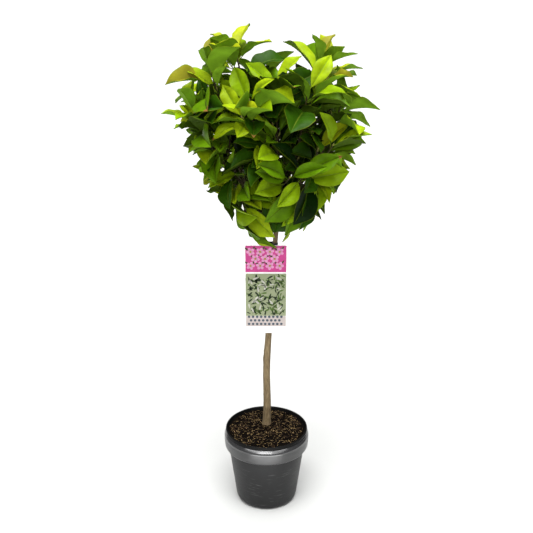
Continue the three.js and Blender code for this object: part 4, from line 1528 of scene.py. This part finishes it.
class MAGNOLIA_OT_soil(bpy.types.Operator):
    """Build the potting soil, with crumbs, fibres and chips strewn over it"""

    bl_idname = "magnolia.soil"
    bl_label = "Soil"

    def execute(self, context):
        settings = context.scene.magnolia_soil
        draw = np.random.default_rng(SOIL_SEED)
        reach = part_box("soil")[1].x
        peat = earth_finish("soil_peat", settings.peat, roughness=0.8)
        brown = earth_finish("soil_crumb", settings.crumb, roughness=0.75)
        straw = straw_finish("soil_straw", settings.fibre)
        chip = straw_finish("soil_chip", settings.chip)
        half = settings.crumbs // 2
        piece("soil_bed", [self.bed()], peat, ["soil"])
        piece("soil_dark_crumbs", crumb_parts(draw, half, reach - CRUMB_CLEAR), peat)
        piece("soil_brown_crumbs", crumb_parts(draw, half, reach - CRUMB_CLEAR), brown)
        piece("soil_fibres", fibre_parts(draw, settings.fibres, reach - FIBRE_CLEAR), straw)
        piece("soil_chips", chip_parts(draw, settings.chips, reach - CHIP_CLEAR), chip)
        return {"FINISHED"}

    def bed(self):
        """The soil's uneven top, and its plain side that narrows to a flat foot."""
        low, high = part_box("soil")
        radius = high.x * np.linspace(SOIL_MIDDLE, 1, SOIL_RINGS) ** SOIL_RING_POWER
        angles = spaced_turns(SOIL_SIDES)
        x = radius[:, None] * np.cos(angles)
        y = radius[:, None] * np.sin(angles)
        z = soil_height(radius)[:, None] + soil_lumps(x, y)
        top = np.stack([x, y, z], axis=-1)
        foot = top[-1] * [SOIL_FOOT_SHARE, SOIL_FOOT_SHARE, 0] + UP * low.z
        middle = foot * [SOIL_FOOT_MIDDLE, SOIL_FOOT_MIDDLE, 1]
        rows = np.concatenate([top, [foot, middle]])
        return rows, grid_faces(len(rows), SOIL_SIDES, True)[:, ::-1]


class MAGNOLIA_OT_trunk(bpy.types.Operator):
    """Build the trunk, with furrowed bark, healed scars and a small knee"""

    bl_idname = "magnolia.trunk"
    bl_label = "Trunk"

    def execute(self, context):
        settings = context.scene.magnolia_wood
        draw = np.random.default_rng(WOOD_SEED)
        heights = np.linspace(TRUNK_LOW - TRUNK_SINK, TRUNK_HIGH, TRUNK_RINGS)
        angles = spaced_turns(TRUNK_SIDES)
        radii = trunk_radius(np.maximum(heights, TRUNK_LOW))[:, None]
        radii = radii + settings.ridge * bark_relief(angles, heights, draw)
        radii += settings.scar * KNEE_RISE * bump_at(angles, heights, **KNEE)
        for _ in range(SCARS):
            height = draw.uniform(TRUNK_LOW + SCAR_LOWEST, FORK_LOWEST)
            turn = draw.uniform(0, 2 * math.pi)
            size = draw.uniform(*SCAR_SIZE)
            radii += settings.scar * bump_at(angles, heights, height, turn, size)
        radii[-1] *= TRUNK_TOP_SHARE
        upright = np.tile(UP, (TRUNK_RINGS, 1))
        body = tube(trunk_axis(heights), upright, RIGHT, radii, TRUNK_SIDES)
        pale = shade(settings.light, 1.35)
        bark = bark_finish("trunk_bark", settings.light, settings.dark, speckle=pale)
        piece("trunk_bark", [body], bark, ["trunk"])
        return {"FINISHED"}


class MAGNOLIA_OT_head(bpy.types.Operator):
    """Grow the boughs, shoots, twigs, buds and leaves of the head"""

    bl_idname = "magnolia.head"
    bl_label = "Head"

    def execute(self, context):
        shoots, twigs, leaves = grown_head()
        if not leaves:
            raise RuntimeError("the head grew no leaves")
        self.limbs(context.scene.magnolia_wood, context.scene.magnolia_leaf, shoots, twigs)
        self.leaves(context.scene.magnolia_leaf, leaves)
        return {"FINISHED"}

    def limbs(self, wood, leaf, shoots, twigs):
        draw = np.random.default_rng(WOOD_SEED + 1)
        old, young = wood.bough, wood.shoot
        bough_bark = bark_finish("bough_bark", old, shade(old, 0.45), speckle=shade(old, 2.4))
        shoot_bark = bark_finish("shoot_bark", young, shade(young, 0.5), speckle=shade(young, 2.6))
        scales = leaf_finish("bud_scales", leaf.bud, BUD_ROUGHNESS)
        bough_parts = limb_parts(shoots, 0, BOUGH_SHARE, wood.ridge, draw, **BOUGH_LIMBS)
        shoot_parts = limb_parts(shoots, BOUGH_SHARE, 1, wood.ridge, draw, **SHOOT_LIMBS)
        twig_parts = limb_parts(twigs, 0, 1, wood.ridge, draw, **TWIG_LIMBS)
        buds = bud_parts(shoots, *SHOOT_BUD) + bud_parts(twigs, *TWIG_BUD)
        piece("boughs", bough_parts, bough_bark, BOUGH_NODES)
        piece("shoots", shoot_parts, shoot_bark, FOLIAGE_NODES)
        piece("twigs", twig_parts, shoot_bark, FOLIAGE_NODES)
        piece("buds", buds, scales, FOLIAGE_NODES)

    def leaves(self, settings, leaves):
        draw = np.random.default_rng(LOOK_SEED)
        shades = dealt_shades(leaves, draw)
        withered = draw.random(len(leaves)) < WITHERED_SHARE
        blades = Blades(leaves, settings, draw)
        lift = settings.thickness / 2
        upper = blades.sheet(BLADE_COLUMNS, lift, quilting=settings.quilting, rib=0)
        under = blades.sheet(UNDER_COLUMNS, -lift, quilting=0, rib=-RIB_DEPTH)
        self.tops(settings, upper, shades, withered)
        self.edges(settings, upper, under, shades)
        self.undersides(settings, under, shades)
        self.midribs(settings, upper, *blades.stalks(), shades)

    def midribs(self, settings, upper, stalks, stalk_faces, shades):
        """The midribs on the upper sides and the stalks, paler on light leaves."""
        strip = strip_faces(len(BLADE_COLUMNS), [MIDRIB_STRIP])
        faces = grid_faces(BLADE_ROWS, len(BLADE_COLUMNS))[strip][:, ::-1]
        for name, chosen, factor in tone_groups(shades, MIDRIB_TONES):
            skin = leaf_finish(f"midrib_{name}", shade(settings.midrib, factor), RIB_ROUGHNESS)
            count = int(chosen.sum())
            parts = [
                (upper[chosen], spread_faces(faces, count, upper[0].size // 3)),
                (stalks[chosen], spread_faces(stalk_faces[:, ::-1], count, stalks[0].size // 3)),
            ]
            piece(f"leaf_midribs_{name}", parts, skin, FOLIAGE_NODES)

    def tops(self, settings, upper, shades, withered):
        """The upper sides, by shade, but for the midribs and margins, and a few dry tips."""
        columns = len(BLADE_COLUMNS)
        faces = grid_faces(BLADE_ROWS, columns)[:, ::-1]
        green = ~strip_faces(columns, [*MARGIN_STRIPS, MIDRIB_STRIP])
        tip = np.arange(len(faces)) // (columns - 1) >= BLADE_ROWS - 1 - WITHERED_ROWS
        points_each = upper[0].size // 3
        for index, name in enumerate(SHADES):
            skin = leaf_finish(f"leaf_{name}", getattr(settings, name), TOP_ROUGHNESS)
            parts = []
            for dry in (False, True):
                chosen = (shades == index) & (withered == dry)
                kept = faces[green & ~tip] if dry else faces[green]
                parts.append((upper[chosen], spread_faces(kept, int(chosen.sum()), points_each)))
            piece(f"leaf_tops_{name}", parts, skin, FOLIAGE_NODES)
        dry_skin = leaf_finish("leaf_withered", settings.withered, DRY_ROUGHNESS)
        parts = [(upper[withered], spread_faces(faces[green & tip], int(withered.sum()), points_each))]
        piece("leaf_dry_tips", parts, dry_skin, FOLIAGE_NODES)

    def edges(self, settings, upper, under, shades):
        """The thin margins, with their walls down to the undersides, paler on light leaves as a painted
        edge highlight.
        """
        columns, below = len(BLADE_COLUMNS), len(UNDER_COLUMNS)
        strips = grid_faces(BLADE_ROWS, columns)[:, ::-1][strip_faces(columns, MARGIN_STRIPS)]
        rows = np.arange(BLADE_ROWS - 1)
        offset = upper[0].size // 3
        walls = []
        for high, low in ((0, 0), (columns - 1, below - 1)):
            top, foot = rows * columns + high, offset + rows * below + low
            wall = np.stack([top, top + columns, foot + below, foot], axis=1)
            walls.append(wall if high == 0 else wall[:, ::-1])
        faces = np.concatenate([strips, *walls])
        points = np.concatenate([side.reshape(len(side), -1, 3) for side in (upper, under)], axis=1)
        for name, chosen, factor in tone_groups(shades, MARGIN_TONES):
            skin = leaf_finish(f"margin_{name}", shade(settings.margin, factor), RIB_ROUGHNESS)
            parts = [(points[chosen], spread_faces(faces, int(chosen.sum()), points.shape[1]))]
            piece(f"leaf_margins_{name}", parts, skin, FOLIAGE_NODES)

    def undersides(self, settings, under, shades):
        # The pale undersides are painted light shining through the blade, the dark ones painted shade
        faces = grid_faces(BLADE_ROWS, len(UNDER_COLUMNS))
        for name, chosen, factor in tone_groups(shades, UNDERSIDE_PAINTED_LIGHT):
            skin = leaf_finish(f"underside_{name}", shade(settings.underside, factor), UNDER_ROUGHNESS)
            parts = [(under[chosen], spread_faces(faces, int(chosen.sum()), under[0].size // 3))]
            piece(f"leaf_undersides_{name}", parts, skin, FOLIAGE_NODES)


class MAGNOLIA_OT_tag(bpy.types.Operator):
    """Build the tag with its plain printed ornament, and the strap that holds it"""

    bl_idname = "magnolia.tag"
    bl_label = "Tag"

    def execute(self, context):
        settings = context.scene.magnolia_tag
        self.card(settings)
        self.upper_print(settings)
        self.lower_print(settings)
        self.strap(settings)
        return {"FINISHED"}

    def card(self, settings):
        """A card with softly bevelled edges, so that they catch the light."""
        low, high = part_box("tag_card")
        rings = []
        for inset, depth in (
            (TAG_BEVEL, low.y),
            (0, low.y + TAG_BEVEL),
            (0, high.y - TAG_BEVEL),
            (TAG_BEVEL, high.y),
        ):
            corner = TAG_CORNER - inset
            edge = panel(low.x + inset, high.x - inset, low.z + inset, high.z - inset, corner)
            rings.append(np.stack([edge[:, 0], np.full(len(edge), depth), edge[:, 1]], axis=1))
        points = np.array(rings)
        count = points.shape[1]
        front = np.arange(count)[None]
        back = front[:, ::-1] + count * (len(rings) - 1)
        rim = grid_faces(len(rings), count, True)
        parts = [(points, faces) for faces in (rim, front, back)]
        card = print_finish("tag_card", settings.card)
        made = piece("tag_body", parts, card, ["tag_card"])
        for polygon in made.data.polygons:
            polygon.use_smooth = len(polygon.vertices) == 4

    def inked(self, name, outlines, films, colour):
        """One ink on the card's front, which stands off it by a number of films."""
        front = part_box("tag_card")[0].y
        parts = print_parts(outlines, front, films * PRINT_LIFT)
        made = piece(name, parts, print_finish(name, colour))
        for polygon in made.data.polygons:
            polygon.use_smooth = False

    def upper_print(self, settings):
        """Round blossoms in three staggered rows on a rose ground, with leaves between."""
        low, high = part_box("tag_card")
        left, right = low.x + TAG_MARGIN, high.x - TAG_MARGIN
        foot, top = ROSE_PANEL
        petals, eyes, leaves = [], [], []
        for row, column, centre in staggered((left, foot), **BLOSSOM_GRID):
            petals += blossom(centre, BLOSSOM_SIZE, BLOSSOM_TURN * column + row)
            eyes.append(oval(centre, BLOSSOM_SIZE * BLOSSOM_EYE, BLOSSOM_SIZE * BLOSSOM_EYE, 0))
            for turn in SHADE_LEAF_TURNS:
                away = np.array([math.cos(turn), math.sin(turn)]) * BLOSSOM_SIZE * SHADE_LEAF_OUT
                leaves.append(oval(centre + away, *SHADE_LEAF, turn, point_end=SHADE_LEAF_POINT))
        self.inked("tag_rose_ground", [panel(left, right, foot, top)], 1, settings.rose)
        self.inked("tag_shade_leaves", leaves, 2, settings.shade)
        self.inked("tag_petals", petals, 3, settings.petal)
        self.inked("tag_eyes", eyes, 4, settings.eye)

    def lower_print(self, settings):
        """Leaves strewn on a sage ground, over a blush foot with a border of dots."""
        low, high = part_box("tag_card")
        left, right = low.x + TAG_MARGIN, high.x - TAG_MARGIN
        foot, top = SAGE_PANEL
        draw = np.random.default_rng(PRINT_SEED)
        space = (left, right, BLUSH_TOP, top)
        border = staggered((left, foot), **BORDER_GRID)
        dots = [oval(centre, BORDER_DOT, BORDER_DOT, 0) for *_, centre in border]
        self.inked("tag_sage_ground", [panel(*space)], 1, settings.sage)
        self.inked("tag_blush_ground", [panel(left, right, foot, BLUSH_TOP - BLUSH_GAP)], 1, settings.blush)
        self.inked("tag_light_leaves", strewn_leaves(draw, LIGHT_LEAVES, *space), 2, settings.lime)
        self.inked("tag_dark_leaves", strewn_leaves(draw, DARK_LEAVES, *space), 3, settings.sprig)
        self.inked("tag_pale_leaves", strewn_leaves(draw, PALE_LEAVES, *space), 4, settings.pale)
        self.inked("tag_border_dots", dots, 2, settings.blue)

    def strap(self, settings):
        """A flat band with rounded edges, looped round the trunk behind the tag."""
        low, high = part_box("tag_strap")
        radius = (high.y - low.y) / 2
        middle = (high.y + low.y) / 2
        half_turn = np.linspace(-math.pi / 2, math.pi / 2, STRAP_STEPS)
        turns = np.concatenate([half_turn, half_turn + math.pi])[:, None]
        centre = np.repeat([high.x - radius, low.x + radius], STRAP_STEPS)[:, None]
        inner, outer = -STRAP_THICKNESS, 0
        seam = (inner, low.z + STRAP_SEAM, 0)
        corners = ((inner, low.z), (outer, low.z), (outer, high.z), (inner, high.z))
        section = filleted([seam, *((*corner, STRAP_FILLET) for corner in corners), seam], CORNER_STEPS)
        reach = radius + section[:, 0]
        x = centre + np.cos(turns) * reach
        y = middle + np.sin(turns) * reach
        points = np.stack([x, y, np.broadcast_to(section[:, 1], x.shape)], axis=-1)
        points = np.concatenate([points, points[:1]])
        faces = grid_faces(len(points), len(section))[:, ::-1]
        black, dusty = settings.strap, shade(settings.strap, 4)
        finish = plastic_finish("strap_plastic", black, dusty, roughness=0.4, gloss=0.3, wear=0.3)
        piece("tag_band", [(points, faces)], finish, ["tag_strap"])


class MAGNOLIA_OT_stage(bpy.types.Operator):
    """Set the pale floor, the soft light and the camera"""

    bl_idname = "magnolia.stage"
    bl_label = "Stage"

    def execute(self, context):
        settings = context.scene.magnolia_stage
        self.floor(settings)
        self.surroundings(context.scene, settings)
        self.sun(settings, "main_light", settings.sun, -settings.sun_turn)
        self.sun(settings, "back_light", settings.back_sun, math.pi - settings.back_turn)
        self.softboxes(settings)
        self.reflector(settings)
        self.camera(context.scene, settings)
        context.scene.view_settings.view_transform = "Standard"
        return {"FINISHED"}

    def floor(self, settings):
        profile = np.stack([FLOOR_RINGS, np.zeros(len(FLOOR_RINGS))], axis=1)
        points, faces = turned(profile, FLOOR_SIDES)
        mesh = bpy.data.meshes.new("floor")
        mesh.from_pydata(points.reshape(-1, 3).tolist(), [], faces[:, ::-1].tolist())
        finish = Finish("floor_paper", Roughness=0.9, Specular_IOR_Level=0.1)
        cloud = finish.noise(scale=3)
        finish.set("Base Color", finish.mix(shade(settings.floor, 0.99), settings.floor, cloud))
        mesh.materials.append(finish.material)
        made = placed("floor", mesh)

    def surroundings(self, scene, settings):
        """An even dim light from all round, behind a backdrop that looks as pale as the floor."""
        world = bpy.data.worlds.new("studio")
        world.use_nodes = True
        studio = Nodes(world.node_tree)
        even = studio.tree.nodes["Background"]
        studio.plug(even.inputs["Color"], WHITE)
        studio.plug(even.inputs["Strength"], settings.sky)
        light = Wire(studio, even.outputs[0])
        backdrop = studio.node("ShaderNodeBackground", {}, {"Color": WHITE, "Strength": settings.backdrop})
        seen = studio.node("ShaderNodeLightPath", {}, {}, "Is Camera Ray")
        blend = studio.node("ShaderNodeMixShader", {}, {0: seen, 1: light, 2: backdrop})
        studio.plug(studio.tree.nodes["World Output"].inputs["Surface"], blend)
        scene.world = world

    def sun(self, settings, name, strength, turn):
        """A wide, even light from far away."""
        light = bpy.data.lights.new(name, "SUN")
        light.energy = strength
        light.angle = settings.sun_width
        made = placed(name, light)
        made.rotation_euler = (math.pi / 2 - settings.sun_height, 0, turn)

    def lit_panel(self, name, power, width, height):
        """A rectangle that gives light."""
        light = bpy.data.lights.new(name, "AREA")
        light.energy = power
        light.shape = "RECTANGLE"
        light.size = width
        light.size_y = height
        return placed(name, light)

    def softboxes(self, settings):
        """Three in an arc in front, which show as one long light in the planter's lip."""
        size = (settings.softbox_width, settings.softbox_height)
        for name, (turn, share) in SOFTBOXES.items():
            made = self.lit_panel(f"softbox_{name}", settings.softbox * share, *size)
            away = SOFTBOX_DISTANCE * Vector((math.sin(turn), -math.cos(turn), 0))
            made.location = away + Vector((0, 0, SOFTBOX_LEVEL))
            aim = SOFTBOX_AIM - made.location
            made.rotation_euler = aim.to_track_quat("-Z", "Y").to_euler()

    def reflector(self, settings):
        """A bright card that lies in front of the planter and shows in its band."""
        made = self.lit_panel("reflector", settings.reflector, *REFLECTOR_SIZE)
        made.location = REFLECTOR_PLACE
        made.rotation_euler = (math.pi, 0, 0)
        made.visible_camera = False

    def camera(self, scene, settings):
        camera = bpy.data.cameras.new("camera")
        camera.lens = settings.camera_lens
        camera.sensor_width = SENSOR_WIDTH
        made = placed("camera", camera)
        made.location = (0, -settings.camera_back, settings.camera_height)
        made.rotation_euler = (math.pi / 2 - settings.camera_tilt, 0, 0)
        scene.camera = made


OPERATORS = (
    MAGNOLIA_OT_planter,
    MAGNOLIA_OT_soil,
    MAGNOLIA_OT_trunk,
    MAGNOLIA_OT_head,
    MAGNOLIA_OT_tag,
    MAGNOLIA_OT_stage,
)


class MAGNOLIA_PT_panel(bpy.types.Panel):
    """Lists the steps that build the potted magnolia"""

    bl_idname = "MAGNOLIA_PT_panel"
    bl_label = "Potted Magnolia"
    bl_space_type = "VIEW_3D"
    bl_region_type = "UI"
    bl_category = "Magnolia"

    def draw(self, context):
        for operator in OPERATORS:
            self.layout.operator(operator.bl_idname)
        for name in SETTINGS:
            box = self.layout.box()
            group = getattr(context.scene, name)
            for key in group.bl_rna.properties.keys():
                if key not in {"rna_type", "name"}:
                    box.prop(group, key)


CLASSES = (*SETTINGS.values(), *OPERATORS, MAGNOLIA_PT_panel)


def register():
    for cls in CLASSES:
        bpy.utils.register_class(cls)
    for name, cls in SETTINGS.items():
        setattr(bpy.types.Scene, name, bpy.props.PointerProperty(type=cls))


def unregister():
    for name in SETTINGS:
        delattr(bpy.types.Scene, name)
    for cls in reversed(CLASSES):
        bpy.utils.unregister_class(cls)


def main():
    register()
    bpy.ops.magnolia.planter()
    bpy.ops.magnolia.soil()
    bpy.ops.magnolia.trunk()
    bpy.ops.magnolia.head()
    bpy.ops.magnolia.tag()
    bpy.ops.magnolia.stage()


if __name__ == "__main__":
    main()
